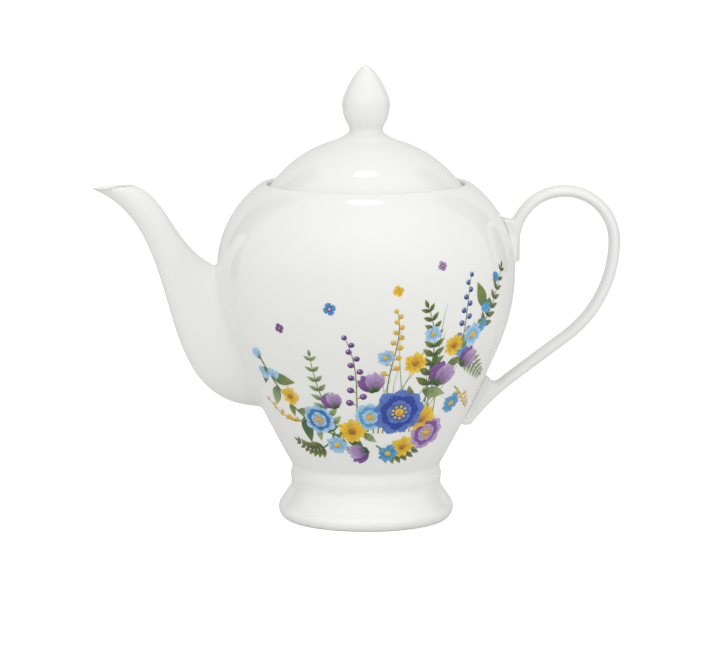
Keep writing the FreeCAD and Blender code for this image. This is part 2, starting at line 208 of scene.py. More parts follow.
def turn_outline(name: str, outline: Sequence[Point], steps: int) -> bpy.types.Object:
    """Extrude a point along an outline and spin it about the upright axis.

    Args:
        name: Name of the new piece.
        outline: Radius and level of each point, from axis to axis or all the way round.
        steps: Number of steps of the full turn.

    Returns:
        The piece, closed and smooth.
    """
    bpy.ops.object.select_all(action="DESELECT")
    bpy.ops.mesh.primitive_plane_add(size=0.001)
    piece = bpy.context.object
    piece.name = name
    start_editing(piece)
    bpy.ops.mesh.merge(type="CENTER")
    bpy.ops.transform.translate(value=(outline[0][0], 0.0, outline[0][1]))
    for before, after in zip(outline, outline[1:]):
        step = (after[0] - before[0], 0.0, after[1] - before[1])
        bpy.ops.mesh.extrude_region_move(TRANSFORM_OT_translate={"value": step})
    bpy.ops.mesh.select_all(action="SELECT")
    bpy.ops.mesh.spin(steps=steps, angle=2 * math.pi, center=(0, 0, 0), axis=(0, 0, 1))
    tidy_mesh()
    return piece


def new_grid(columns: int, rows: int) -> bpy.types.Object:
    """Add a flat grid, with nothing else selected.

    Args:
        columns: Faces across.
        rows: Faces along.

    Returns:
        The grid.
    """
    bpy.ops.object.select_all(action="DESELECT")
    bpy.ops.mesh.primitive_grid_add(x_subdivisions=columns, y_subdivisions=rows, size=1.0)
    return bpy.context.object


def read_points(mesh: bpy.types.Mesh) -> np.ndarray:
    """Places of a mesh's points, one row each.

    Args:
        mesh: The mesh.

    Returns:
        The places.
    """
    places = np.empty(len(mesh.vertices) * 3, np.float32)
    mesh.vertices.foreach_get("co", places)
    return places.reshape(-1, 3)


def move_points(mesh: bpy.types.Mesh, places: Sequence[Vector] | np.ndarray) -> None:
    """Move a mesh's points to new places."""
    mesh.vertices.foreach_set("co", np.array(places, np.float32).ravel())


def wrap_grid(name: str, rings: Sequence[Sequence[Vector]]) -> bpy.types.Object:
    """Wrap a flat grid into a tube through rings of points.

    Args:
        name: Name of the new piece.
        rings: Rings of equal length, each without its first point repeated.

    Returns:
        The piece, with its seam merged.
    """
    around = len(rings[0])
    piece = new_grid(around, len(rings) - 1)
    piece.name = name
    move_points(piece.data, [ring[column % around] for ring in rings for column in range(around + 1)])
    start_editing(piece)
    tidy_mesh()
    return piece


def drill(piece: bpy.types.Object, centre: Vector, way: Drilling, radius: float, depth: float) -> None:
    """Cut a round hole through a wall.

    Args:
        piece: Piece to cut.
        centre: Middle of the drill.
        way: Way the drill points.
        radius: Radius of the hole.
        depth: Length of the drill.
    """
    bpy.ops.object.select_all(action="DESELECT")
    bpy.ops.mesh.primitive_cylinder_add(
        vertices=24, radius=radius, depth=depth, location=centre, rotation=way.value
    )
    tool = bpy.context.object
    cut = piece.modifiers.new("drill", "BOOLEAN")
    cut.object = tool
    cut.operation = "DIFFERENCE"
    bpy.context.view_layer.objects.active = piece
    bpy.ops.object.modifier_apply(modifier=cut.name)
    bpy.data.objects.remove(tool)


def settle(piece: bpy.types.Object, body: Body, node: str | None = None) -> None:
    """Make a finished piece ride on its body.

    Args:
        piece: The piece.
        body: Body that carries it.
        node: CAD node that it stands for, if any.
    """
    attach(piece, body.value)
    if node:
        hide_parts(node)
    LOG.info("%s: %d faces on %s", piece.name, len(piece.data.polygons), body.value)


class NodeBench:
    """Small helper that adds and links shader nodes."""

    def __init__(self, tree: bpy.types.NodeTree) -> None:
        """Keep the tree to work on."""
        self.tree = tree

    def add(self, kind: str, **values: object) -> bpy.types.Node:
        """Add a node and set its properties and inputs.

        Args:
            kind: Node type without its prefix.
            **values: Properties by name, or inputs by name with spaces as underscores.

        Returns:
            The node.
        """
        node = self.tree.nodes.new(f"ShaderNode{kind}")
        for name, value in values.items():
            if hasattr(node, name):
                setattr(node, name, value)
            else:
                node.inputs[name.replace("_", " ")].default_value = value
        return node

    def link(self, source: bpy.types.NodeSocket, target: bpy.types.NodeSocket) -> None:
        """Join two sockets."""
        self.tree.links.new(source, target)


def glaze_group() -> bpy.types.NodeTree:
    """Build the shared group for fired glaze: faint clouding, gloss that varies and a soft ripple.

    Returns:
        The node group, with inputs Colour and Clouding and outputs Colour, Roughness and Height.
    """
    group = bpy.data.node_groups.new("fired_glaze", "ShaderNodeTree")
    sockets = (
        ("Colour", "INPUT", "NodeSocketColor"),
        ("Clouding", "INPUT", "NodeSocketFloat"),
        ("Colour", "OUTPUT", "NodeSocketColor"),
        ("Roughness", "OUTPUT", "NodeSocketFloat"),
        ("Height", "OUTPUT", "NodeSocketFloat"),
    )
    for name, way, kind in sockets:
        group.interface.new_socket(name, in_out=way, socket_type=kind)
    bench = NodeBench(group)
    entry = group.nodes.new("NodeGroupInput")
    leave = group.nodes.new("NodeGroupOutput")
    place = bench.add("TexCoord")
    cloud = bench.add("TexNoise", Scale=38.0, Detail=3.0, Roughness=0.5)
    ripple = bench.add("TexNoise", Scale=210.0, Detail=2.0, Roughness=0.45)
    speck = bench.add("TexNoise", Scale=1400.0, Detail=1.0)
    for texture in (cloud, ripple, speck):
        bench.link(place.outputs["Object"], texture.inputs["Vector"])
    shade = bench.add("Math", operation="MULTIPLY")
    bench.link(cloud.outputs["Fac"], shade.inputs[0])
    bench.link(entry.outputs["Clouding"], shade.inputs[1])
    dark = bench.add("Math", operation="SUBTRACT")
    dark.inputs[0].default_value = 1.0
    bench.link(shade.outputs[0], dark.inputs[1])
    tint = bench.add("VectorMath", operation="SCALE")
    bench.link(entry.outputs["Colour"], tint.inputs[0])
    bench.link(dark.outputs[0], tint.inputs["Scale"])
    bench.link(tint.outputs[0], leave.inputs["Colour"])
    gloss = bench.add("MapRange", From_Min=0.3, From_Max=0.7, To_Min=0.055, To_Max=0.105)
    bench.link(ripple.outputs["Fac"], gloss.inputs["Value"])
    bench.link(gloss.outputs["Result"], leave.inputs["Roughness"])
    height = bench.add("Math", operation="MULTIPLY_ADD")
    bench.link(speck.outputs["Fac"], height.inputs[0])
    height.inputs[1].default_value = 0.04
    bench.link(ripple.outputs["Fac"], height.inputs[2])
    bench.link(height.outputs[0], leave.inputs["Height"])
    return group


@dataclass(frozen=True)
class Finish:
    """A finish built on the fired glaze group.

    Attributes:
        name: Name of the material.
        colour: Colour of the clay or glaze, linear.
        clouding: How much the colour clouds.
        ripple: Strength of the ripple in the surface.
        painted: Whether the colour comes from the paint on the piece.
        dry: Roughness of a bare surface, or None for the glaze's own gloss.
    """

    name: str
    colour: Colour
    clouding: float
    ripple: float
    painted: bool = False
    dry: float | None = None

    def build(self, group: bpy.types.NodeTree) -> bpy.types.Material:
        """Make the material.

        Args:
            group: The fired glaze group.

        Returns:
            The material.
        """
        material = bpy.data.materials.new(self.name)
        material.use_nodes = True
        tree = material.node_tree
        bench = NodeBench(tree)
        shader = tree.nodes["Principled BSDF"]
        glaze = tree.nodes.new("ShaderNodeGroup")
        glaze.node_tree = group
        glaze.inputs["Clouding"].default_value = self.clouding
        glaze.inputs["Colour"].default_value = (*self.colour, 1.0)
        if self.painted:
            self.brush_in(bench, glaze)
        bench.link(glaze.outputs["Colour"], shader.inputs["Base Color"])
        if self.dry is None:
            bench.link(glaze.outputs["Roughness"], shader.inputs["Roughness"])
        else:
            shader.inputs["Roughness"].default_value = self.dry
        bump = bench.add("Bump", Strength=self.ripple, Distance=0.0006)
        bench.link(glaze.outputs["Height"], bump.inputs["Height"])
        bench.link(bump.outputs["Normal"], shader.inputs["Normal"])
        shader.inputs["IOR"].default_value = 1.5
        return material

    def brush_in(self, bench: NodeBench, glaze: bpy.types.Node) -> None:
        """Feed the piece's paint into the glaze, pooled and thinned like watercolour.

        Args:
            bench: Bench of the material.
            glaze: The glaze node.
        """
        paint = bench.add("Attribute", attribute_name="paint")
        place = bench.add("TexCoord")
        pool = bench.add("TexNoise", Scale=620.0, Detail=4.0, Roughness=0.6)
        bench.link(place.outputs["Object"], pool.inputs["Vector"])
        depth = bench.add("MapRange", From_Min=0.3, From_Max=0.7, To_Min=0.72, To_Max=1.25)
        bench.link(pool.outputs["Fac"], depth.inputs["Value"])
        wash = bench.add("VectorMath", operation="SCALE")
        bench.link(paint.outputs["Color"], wash.inputs[0])
        bench.link(depth.outputs["Result"], wash.inputs["Scale"])
        bench.link(wash.outputs[0], glaze.inputs["Colour"])


@dataclass
class Materials:
    """The finishes of the teapot, built once."""

    glaze: bpy.types.Material = field(init=False)
    bare: bpy.types.Material = field(init=False)
    paint: bpy.types.Material = field(init=False)

    def __post_init__(self) -> None:
        """Build each finish."""
        group = glaze_group()
        self.glaze = Finish("white_glaze", (0.84, 0.842, 0.812), 0.035, 0.05).build(group)
        self.bare = Finish("bare_porcelain", (0.74, 0.72, 0.67), 0.12, 0.35, dry=0.75).build(group)
        self.paint = Finish("painted_enamel", (0.2, 0.2, 0.5), 0.10, 0.05, painted=True).build(group)


@dataclass
class PotShape:
    """The pot's outside, as a turned line of three arcs.

    Attributes:
        belly_radius: Widest radius.
        waist_level: Level where the pot meets its foot.
        rim_level: Level of the rim.
        flank_rise: Height of the belly above the waist.
        waist_radius: Radius at the waist.
        rim_radius: Radius at the rim.
        belly_curve: Radius of the belly's arc.
        flank_curve: Radius of the flank's arc.
        wall: Thickness of the wall.
    """

    belly_radius: float
    waist_level: float
    rim_level: float
    flank_rise: float = 0.090
    waist_radius: float = 0.0322
    rim_radius: float = 0.0469
    belly_curve: float = 0.085
    flank_curve: float = 0.520
    wall: float = 0.003

    def __post_init__(self) -> None:
        """Work out the arcs' centres and where they join."""
        self.belly_level = self.waist_level + self.flank_rise
        rise = self.rim_level - self.belly_level
        draw_in = self.belly_radius - self.rim_radius
        self.shoulder_curve = (rise**2 + draw_in**2) / (2 * draw_in)
        self.shoulder_centre = (self.belly_radius - self.shoulder_curve, self.belly_level)
        self.belly_centre = (self.belly_radius - self.belly_curve, self.belly_level)
        waist = (self.waist_radius, self.waist_level)
        gap = self.flank_curve - self.belly_curve
        self.flank_centre = meeting(self.belly_centre, gap, waist, self.flank_curve, 1)
        if self.flank_centre[0] > self.belly_centre[0]:
            self.flank_centre = meeting(self.belly_centre, gap, waist, self.flank_curve, -1)
        turn = angle_at(self.flank_centre, self.belly_centre)
        self.join_level = self.belly_centre[1] + self.belly_curve * math.sin(turn)

    def arc_at(self, level: float) -> tuple[Point, float]:
        """Centre and radius of the arc that a level lies on.

        Args:
            level: Height above the table.

        Returns:
            The centre, as radius and level, and the arc's radius.
        """
        if level >= self.belly_level:
            return self.shoulder_centre, self.shoulder_curve
        if level >= self.join_level:
            return self.belly_centre, self.belly_curve
        return self.flank_centre, self.flank_curve

    def radius_at(self, level: float, inset: float = 0.0) -> float:
        """Radius of the outside, or of a line drawn in from it, at a level.

        Args:
            level: Height above the table.
            inset: How far the line is drawn in.

        Returns:
            The radius.
        """
        centre, curve = self.arc_at(level)
        rise = level - centre[1]
        return centre[0] + math.sqrt(max((curve - inset) ** 2 - rise**2, 0.0))

    def normal_at(self, level: float) -> Vector:
        """Outward normal at a level, as radius and level parts."""
        centre, _ = self.arc_at(level)
        return Vector((self.radius_at(level) - centre[0], level - centre[1])).normalized()

    def line(self, low: float, high: float, count: int, inset: float = 0.0) -> list[Corner]:
        """Sample the outside between two levels.

        Args:
            low: First level.
            high: Last level.
            count: Number of points.
            inset: How far the line is drawn in.

        Returns:
            The points in order.
        """
        return [Corner(self.radius_at(level, inset), level) for level in np.linspace(low, high, count)]


@dataclass
class Pot:
    """The hollow pot with the lid's seat in its rim and the strainer behind the spout."""

    shape: PotShape
    materials: Materials
    lip_width: float = 0.0025
    lip_round: float = 0.0011
    gallery_depth: float = 0.004
    ledge_width: float = 0.0048
    ledge_thickness: float = 0.003
    under_round: float = 0.001
    mouth_round: float = 0.0008
    gallery_round: float = 0.0006
    rim_blend: float = 0.0022
    floor_round: float = 0.006
    floor_blend: float = 0.008
    strainer_drop: float = 0.0285
    strainer_pitch: float = 0.009
    strainer_hole: float = 0.005
    strainer_ring: int = 6
    drill_length: float = 0.024
    steps: int = 192

    def outline(self) -> list[Point]:
        """Outline from the floor's middle inside, over the rim and down to the middle underneath.

        Returns:
            The outline's points in order.
        """
        shape = self.shape
        rim = shape.rim_level
        gallery = shape.rim_radius - self.lip_width
        mouth = gallery - self.ledge_width
        ledge = rim - self.gallery_depth
        under = ledge - self.ledge_thickness
        floor = shape.waist_level + shape.wall
        floor_radius = shape.radius_at(floor, shape.wall)
        corners = [
            Corner(0.0, floor),
            Corner(floor_radius * 0.8, floor),
            Corner(floor_radius, floor, self.floor_round),
        ]
        corners += shape.line(floor + self.floor_blend, under, 60, shape.wall)
        corners += [
            Corner(mouth, under, self.under_round),
            Corner(mouth, ledge, self.mouth_round),
            Corner(gallery, ledge, self.gallery_round),
            Corner(gallery, rim, self.lip_round),
            Corner(shape.radius_at(rim), rim, self.lip_round),
        ]
        corners += shape.line(rim - self.rim_blend, shape.waist_level, 110)
        corners += [Corner(shape.waist_radius * 0.6, shape.waist_level), Corner(0.0, shape.waist_level)]
        return soften(corners)

    def build(self) -> bpy.types.Object:
        """Make the pot, drill its strainer and glaze it.

        Returns:
            The piece.
        """
        piece = turn_outline("porcelain_pot", self.outline(), self.steps)
        level = self.shape.belly_level - self.strainer_drop
        wall = self.shape.radius_at(level)
        for number in range(self.strainer_ring + 1):
            turn = 2 * math.pi * number / self.strainer_ring
            reach = self.strainer_pitch if number < self.strainer_ring else 0.0
            centre = Vector((-wall, reach * math.cos(turn), level + reach * math.sin(turn)))
            drill(piece, centre, Drilling.LEVEL, self.strainer_hole / 2, self.drill_length)
        piece.data.materials.append(self.materials.glaze)
        settle(piece, Body.POT, "pot_body")
        return piece


@dataclass
class Foot:
    """The pedestal: a round band, a flared skirt and a bare ring to stand on."""

    shape: PotShape
    materials: Materials
    radius: float
    round_curve: float = 0.0056
    land: float = 0.0032
    wall: float = 0.0042
    band_height: float = 0.0068
    band_step: float = 0.0009
    band_bulge: float = 0.0009
    joint: float = 0.0030
    joint_sink: float = 0.00004
    joint_ease: float = 0.0006
    crest_share: float = 0.42
    cove_ease: float = 0.0012
    cove_depth: float = 0.0006
    cove_rise: float = 0.0004
    cove_run: float = 0.42
    seat_gap: float = 0.0001
    seat_inset: float = 0.001
    roof_drop: float = 0.006
    land_round: float = 0.0008
    land_tolerance: float = 0.0002
    steps: int = 160

    def outline(self) -> list[Point]:
        """Outline round the section, from the inside of the top and back to it.

        Returns:
            The outline's points in order.
        """
        top = self.shape.waist_level
        band = self.shape.waist_radius + self.band_step
        low = top - self.band_height
        inner = self.shape.waist_radius - self.wall
        centre = (self.radius - self.round_curve, self.round_curve)
        run = math.hypot(band - centre[0], low - centre[1])
        lean = math.acos(self.round_curve / run)
        start = angle_at(centre, (band, low)) - lean
        heel = Vector(centre) + pointing(start) * self.round_curve
        bulge = band + self.band_bulge
        crest = Vector((bulge, top - self.crest_share * self.band_height))
        joint = top + self.joint
        soft_top = (
            Vector((self.shape.radius_at(joint) - self.joint_sink, joint)),
            Vector((self.shape.radius_at(top + self.joint_ease), top + self.joint_ease)),
            Vector((bulge, top - self.joint_ease)),
            crest,
        )
        cove = (
            crest,
            Vector((bulge, low + self.cove_ease)),
            Vector((band - self.cove_depth, low + self.cove_rise)),
            Vector((band + self.cove_run * (heel.x - band), low + self.cove_run * (heel.y - low))),
        )
        land_inner = centre[0] - self.land
        seat = top - self.seat_gap
        corners = [Corner(inner, seat), Corner(self.shape.waist_radius - self.seat_inset, seat)]
        for curve in (soft_top, cove):
            places = [bezier(curve, share) for share in np.linspace(0.0, 1.0, 14)]
            corners += [Corner(place.x, place.y) for place in places]
        corners += arc(centre, self.round_curve, start, -math.pi / 2, 16)
        corners += [
            Corner(land_inner, 0.0, self.land_round),
            Corner(inner, top - self.roof_drop),
            Corner(inner, seat),
        ]
        return soften(corners)

    def build(self) -> bpy.types.Object:
        """Make the foot, glaze it and leave its standing ring bare.

        Returns:
            The piece.
        """
        piece = turn_outline("porcelain_foot", self.outline(), self.steps)
        piece.data.materials.append(self.materials.glaze)
        piece.data.materials.append(self.materials.bare)
        for face in piece.data.polygons:
            if face.center.z < self.land_tolerance and face.normal.z < -0.9:
                face.material_index = 1
        settle(piece, Body.POT, "foot")
        return piece


@dataclass
class Lid:
    """The domed lid with its edge, locating collar and steam vent."""

    shape: PotShape
    pot: Pot
    materials: Materials
    gap: float = 0.0008
    edge: float = 0.0018
    dome_rise: float = 0.0232
    wall: float = 0.0028
    crown_rise: float = 0.0009
    crown_radius: float = 0.0084
    crown_curve: float = 0.040
    collar_gap: float = 0.0006
    collar_depth: float = 0.009
    collar_wall: float = 0.0026
    edge_round: float = 0.0007
    under_round: float = 0.0004
    collar_root: float = 0.0006
    collar_round: float = 0.0009
    vent_place: float = 0.021
    vent_rise: float = 0.018
    vent_hole: float = 0.003
    drill_length: float = 0.02
    steps: int = 160

    def __post_init__(self) -> None:
        """Work out the dome's sphere and the crown's reverse curve."""
        self.ledge = self.shape.rim_level - self.pot.gallery_depth
        self.radius = self.shape.rim_radius - self.pot.lip_width - self.gap
        self.edge_level = self.ledge + self.edge
        self.dome_curve = (self.radius**2 + self.dome_rise**2) / (2 * self.dome_rise)
        self.dome_centre = (0.0, self.edge_level + self.dome_rise - self.dome_curve)
        self.crown_level = self.edge_level + self.dome_rise + self.crown_rise
        crown = (self.crown_radius, self.crown_level)
        reach = self.dome_curve + self.crown_curve
        self.crown_centre = meeting(self.dome_centre, reach, crown, self.crown_curve, -1)

    def crown_line(self, count: int) -> list[Corner]:
        """Sample the hollow curve from the knob's seat down to the dome.

        Args:
            count: Number of points.

        Returns:
            The points in order.
        """
        start = angle_at(self.crown_centre, (self.crown_radius, self.crown_level))
        end = angle_at(self.crown_centre, self.dome_centre)
        return arc(self.crown_centre, self.crown_curve, start % (2 * math.pi), end % (2 * math.pi), count)

    def outline(self) -> list[Point]:
        """Outline from the crown, over the dome and edge, and back inside to the axis.

        Returns:
            The outline's points in order.
        """
        crown = self.crown_line(12)
        join = angle_at(self.dome_centre, (crown[-1].radius, crown[-1].level))
        rim = angle_at(self.dome_centre, (self.radius, self.edge_level))
        dome = arc(self.dome_centre, self.dome_curve, join, rim, 40)[1:-1]
        collar = self.shape.rim_radius - self.pot.lip_width - self.pot.ledge_width - self.collar_gap
        inner = collar - self.collar_wall
        bottom = self.ledge - self.collar_depth
        under_curve = self.dome_curve - self.wall
        spring = math.acos(inner / under_curve)
        corners = [Corner(0.0, self.crown_level)] + crown + dome
        corners += [
            Corner(self.radius, self.edge_level, self.edge_round),
            Corner(self.radius, self.ledge, self.under_round),
            Corner(collar, self.ledge, self.collar_root),
            Corner(collar, bottom, self.collar_round),
            Corner(inner, bottom, self.collar_round),
        ]
        corners += arc(self.dome_centre, under_curve, spring, math.pi / 2, 30)
        return soften(corners)

    def build(self) -> bpy.types.Object:
        """Make the lid, drill its vent and glaze it.

        Returns:
            The piece.
        """
        piece = turn_outline("porcelain_lid", self.outline(), self.steps)
        vent = Vector((0.0, self.vent_place, self.edge_level + self.vent_rise))
        drill(piece, vent, Drilling.UPRIGHT, self.vent_hole / 2, self.drill_length)
        piece.data.materials.append(self.materials.glaze)
        settle(piece, Body.LID, "lid")
        return piece


@dataclass
class Knob:
    """The bud that stands on the lid's crown."""

    lid: Lid
    materials: Materials
    top: float
    radius: float = 0.01075
    bulge_rise: float = 0.0134
    neck_curve: float = 0.003
    base_curve: float = 0.018
    bulge_curve: float = 0.009
    flank_curve: float = 0.035
    tip_round: float = 0.0035
    foot_spread: float = 0.0034
    skirt_reach: float = 0.62
    skirt_pull: float = 0.35
    skirt_sink: float = 0.00003
    skirt_bury: float = 0.0003
    seat_bury: float = 0.0004
    steps: int = 96

    def outline(self) -> list[Point]:
        """Outline from the axis on the crown, over the neck and the bud, to the tip.

        Returns:
            The outline's points in order.
        """
        lid = self.lid
        bulge_level = lid.crown_level + self.bulge_rise
        base_centre = (self.radius - self.base_curve, bulge_level)
        seat = (lid.crown_radius, lid.crown_level)
        neck_centre = meeting(base_centre, self.base_curve + self.neck_curve, seat, self.neck_curve, -1)
        if neck_centre[0] < lid.crown_radius:
            neck_centre = meeting(base_centre, self.base_curve + self.neck_curve, seat, self.neck_curve, 1)
        bulge_centre = (self.radius - self.bulge_curve, bulge_level)
        tip_centre = (0.0, self.top - self.tip_round)
        inner = self.flank_curve - self.bulge_curve
        outer = self.flank_curve - self.tip_round
        flank_centre = meeting(bulge_centre, inner, tip_centre, outer, 1)
        if flank_centre[0] > 0.0:
            flank_centre = meeting(bulge_centre, inner, tip_centre, outer, -1)
        neck_end = angle_at(neck_centre, base_centre) % (2 * math.pi)
        base_start = angle_at(base_centre, neck_centre)
        bulge_end = angle_at(flank_centre, bulge_centre)
        flank_end = angle_at(flank_centre, tip_centre)
        skirt = self.skirt(neck_centre)
        corners = [
            Corner(0.0, lid.crown_level - self.seat_bury),
            Corner(skirt[0].radius, skirt[0].level - self.skirt_bury),
        ]
        corners += skirt
        corners += arc(neck_centre, self.neck_curve, math.pi, neck_end, 6)[1:]
        corners += arc(base_centre, self.base_curve, base_start, 0.0, 16)[1:]
        corners += arc(bulge_centre, self.bulge_curve, 0.0, bulge_end, 12)[1:]
        corners += arc(flank_centre, self.flank_curve, bulge_end, flank_end, 14)[1:]
        corners += arc(tip_centre, self.tip_round, flank_end, math.pi / 2, 8)[1:]
        return soften(corners)

    def skirt(self, neck_centre: Point) -> list[Corner]:
        """Blend from the lid's crown up to the narrowest part of the neck.

        Args:
            neck_centre: Centre of the neck's hollow curve.

        Returns:
            The points, from the crown up.
        """
        crown = self.lid.crown_line(30)
        edge = next(point for point in crown if point.radius > self.lid.crown_radius + self.foot_spread)
        beside = crown[crown.index(edge) + 1]
        slope = Vector((edge.radius - beside.radius, edge.level - beside.level)).normalized()
        neck = Vector((neck_centre[0] - self.neck_curve, neck_centre[1]))
        start = Vector((edge.radius, edge.level - self.skirt_sink))
        hold = start + slope * ((start.x - neck.x) * self.skirt_reach)
        pull = neck - Vector((0.0, (neck.y - start.y) * self.skirt_pull))
        places = [bezier((start, hold, pull, neck), share) for share in np.linspace(0.0, 1.0, 12)]
        return [Corner(place.x, place.y) for place in places]

    def build(self) -> bpy.types.Object:
        """Make the knob and glaze it.

        Returns:
            The piece.
        """
        piece = turn_outline("porcelain_knob", self.outline(), self.steps)
        piece.data.materials.append(self.materials.glaze)
        settle(piece, Body.LID, "lid_knob")
        return piece


@dataclass
class Spout:
    """The hollow S-curved spout, luted to the pot with a soft joint."""

    shape: PotShape
    materials: Materials
    reach: float
    mouth_length: float = 0.0176
    mouth_rise: float = 0.0018
    tip_drop: float = 0.0028
    mouth_width: float = 0.012
    root_width: float = 0.038
    wall: float = 0.0022
    lean: float = 2.5
    root_top: Point = (0.007, -0.0015)
    root_low: Point = (0.031, -0.0615)
    top_swing: Point = (-0.0279, 0.0073)
    heel_pull: Point = (0.0185, -0.0048)
    low_swing: Point = (-0.0683, -0.0102)
    lip_pull: Point = (0.0485, -0.0195)
    lip_round: float = 0.28
    bore_start: float = 0.985
    joint: float = 0.0026
    joint_sink: float = 0.00004
    joint_bury: float = 0.0004
    joint_stride: float = 0.002
    around: int = 72
    rows: int = 70

    def __post_init__(self) -> None:
        """Place the control points of the upper and lower lines, as run and level."""
        belly = self.shape.belly_level
        radius = self.shape.belly_radius
        lip = Vector((-self.reach, self.shape.rim_level - self.tip_drop))
        heel = lip + Vector((self.mouth_length, self.mouth_rise))
        top_root = Vector((self.root_top[0] - radius, belly + self.root_top[1]))
        low_root = Vector((self.root_low[0] - radius, belly + self.root_low[1]))
        self.upper = [top_root, top_root + Vector(self.top_swing), heel + Vector(self.heel_pull), heel]
        self.lower = [low_root, low_root + Vector(self.low_swing), lip + Vector(self.lip_pull), lip]

    def place(self, share: float, turn: float, inset: float = 0.0) -> Vector:
        """Point on the spout's skin.

        Args:
            share: How far along the spout, from 0 at the root to 1 at the mouth.
            turn: Angle round the section, 0 on the upper line.
            inset: How far the skin is drawn in.

        Returns:
            The point.
        """
        top = bezier(self.upper, share**self.lean)
        low = bezier(self.lower, share)
        middle = (top + low) / 2
        along = top - low
        half = along.length / 2 - inset
        along.normalize()
        width = self.mouth_width + (self.root_width - self.mouth_width) * (1 - share) ** 2
        across = (width / 2 - inset) * math.sin(turn)
        flat = middle + along * (half * math.cos(turn))
        return Vector((flat.x, across, flat.y))

    def outside_by(self, point: Vector) -> float:
        """How far a point is outside the pot, measured level."""
        return math.hypot(point.x, point.y) - self.shape.radius_at(point.z)

    def crossing(self, turn: float, inset: float = 0.0) -> float:
        """Share along the spout where its skin leaves the pot.

        Args:
            turn: Angle round the section.
            inset: How far the skin is drawn in.

        Returns:
            The share.
        """
        low, high = 0.0, 0.7
        for _ in range(40):
            middle = (low + high) / 2
            if self.outside_by(self.place(middle, turn, inset)) < 0.0:
                low = middle
            else:
                high = middle
        return high

    def on_pot(self, point: Vector, sink: float) -> Vector:
        """Move a point level onto the pot's outside.

        Args:
            point: The point.
            sink: How far below the surface it ends.

        Returns:
            The moved point.
        """
        radius = self.shape.radius_at(point.z) - sink
        share = radius / math.hypot(point.x, point.y)
        return Vector((point.x * share, point.y * share, point.z))

    def column(self, turn: float) -> list[Vector]:
        """Points of one lengthwise line: joint, outside, lip and bore.

        Args:
            turn: Angle round the section.

        Returns:
            The points in order.
        """
        leave = self.crossing(turn)
        corner = self.place(leave, turn)
        step = 1e-4
        along = self.place(leave + step, turn) - corner
        around = self.place(leave, turn + step) - self.place(leave, turn - step)
        skin = along.cross(around).normalized()
        if skin.dot(corner - self.place(leave, turn + math.pi)) < 0.0:
            skin.negate()
        tilt = self.shape.normal_at(corner.z)
        level = math.hypot(corner.x, corner.y)
        wall = Vector((tilt.x * corner.x / level, tilt.x * corner.y / level, tilt.y))
        away = (skin - wall * skin.dot(wall)).normalized()
        foot = self.on_pot(corner + away * self.joint, self.joint_sink)
        free = leave
        while (self.place(free, turn) - corner).length < self.joint:
            free += self.joint_stride
        shoulder = self.place(free, turn)
        points = [self.on_pot(foot + away * self.joint_bury, self.joint_bury)]
        for t in np.linspace(0.0, 1.0, 8):
            points.append(foot * (1 - t) ** 2 + corner * (2 * t * (1 - t)) + shoulder * t**2)
        for share in np.linspace(free, 1.0, self.rows)[1:]:
            points.append(self.place(share, turn))
        points += self.lip(turn)
        inner = self.crossing(turn, self.wall)
        for share in np.linspace(self.bore_start, inner, 40):
            points.append(self.place(share, turn, self.wall))
        return points

    def lip(self, turn: float) -> list[Vector]:
        """Round the mouth's edge from the outside over to the bore.

        Args:
            turn: Angle round the section.

        Returns:
            The points in order.
        """
        outer = self.place(1.0, turn)
        inner = self.place(1.0, turn, self.wall)
        along = (bezier(self.lower, 1.0) - bezier(self.lower, 0.96)).normalized()
        lift = Vector((along.x * 0.3, 0.0, 0.9)) * (self.wall * self.lip_round)
        points = []
        for angle in np.linspace(0.25, math.pi - 0.2, 7):
            side = (1 + math.cos(angle)) / 2
            points.append(inner * (1 - side) + outer * side + lift * math.sin(angle) - lift * 0.9)
        return points

    def build(self) -> bpy.types.Object:
        """Make the spout and glaze it.

        Returns:
            The piece.
        """
        turns = np.linspace(0.0, 2 * math.pi, self.around, endpoint=False)
        columns = [self.column(turn) for turn in turns]
        piece = wrap_grid("porcelain_spout", list(zip(*columns)))
        piece.data.materials.append(self.materials.glaze)
        settle(piece, Body.POT, "spout")
        return piece


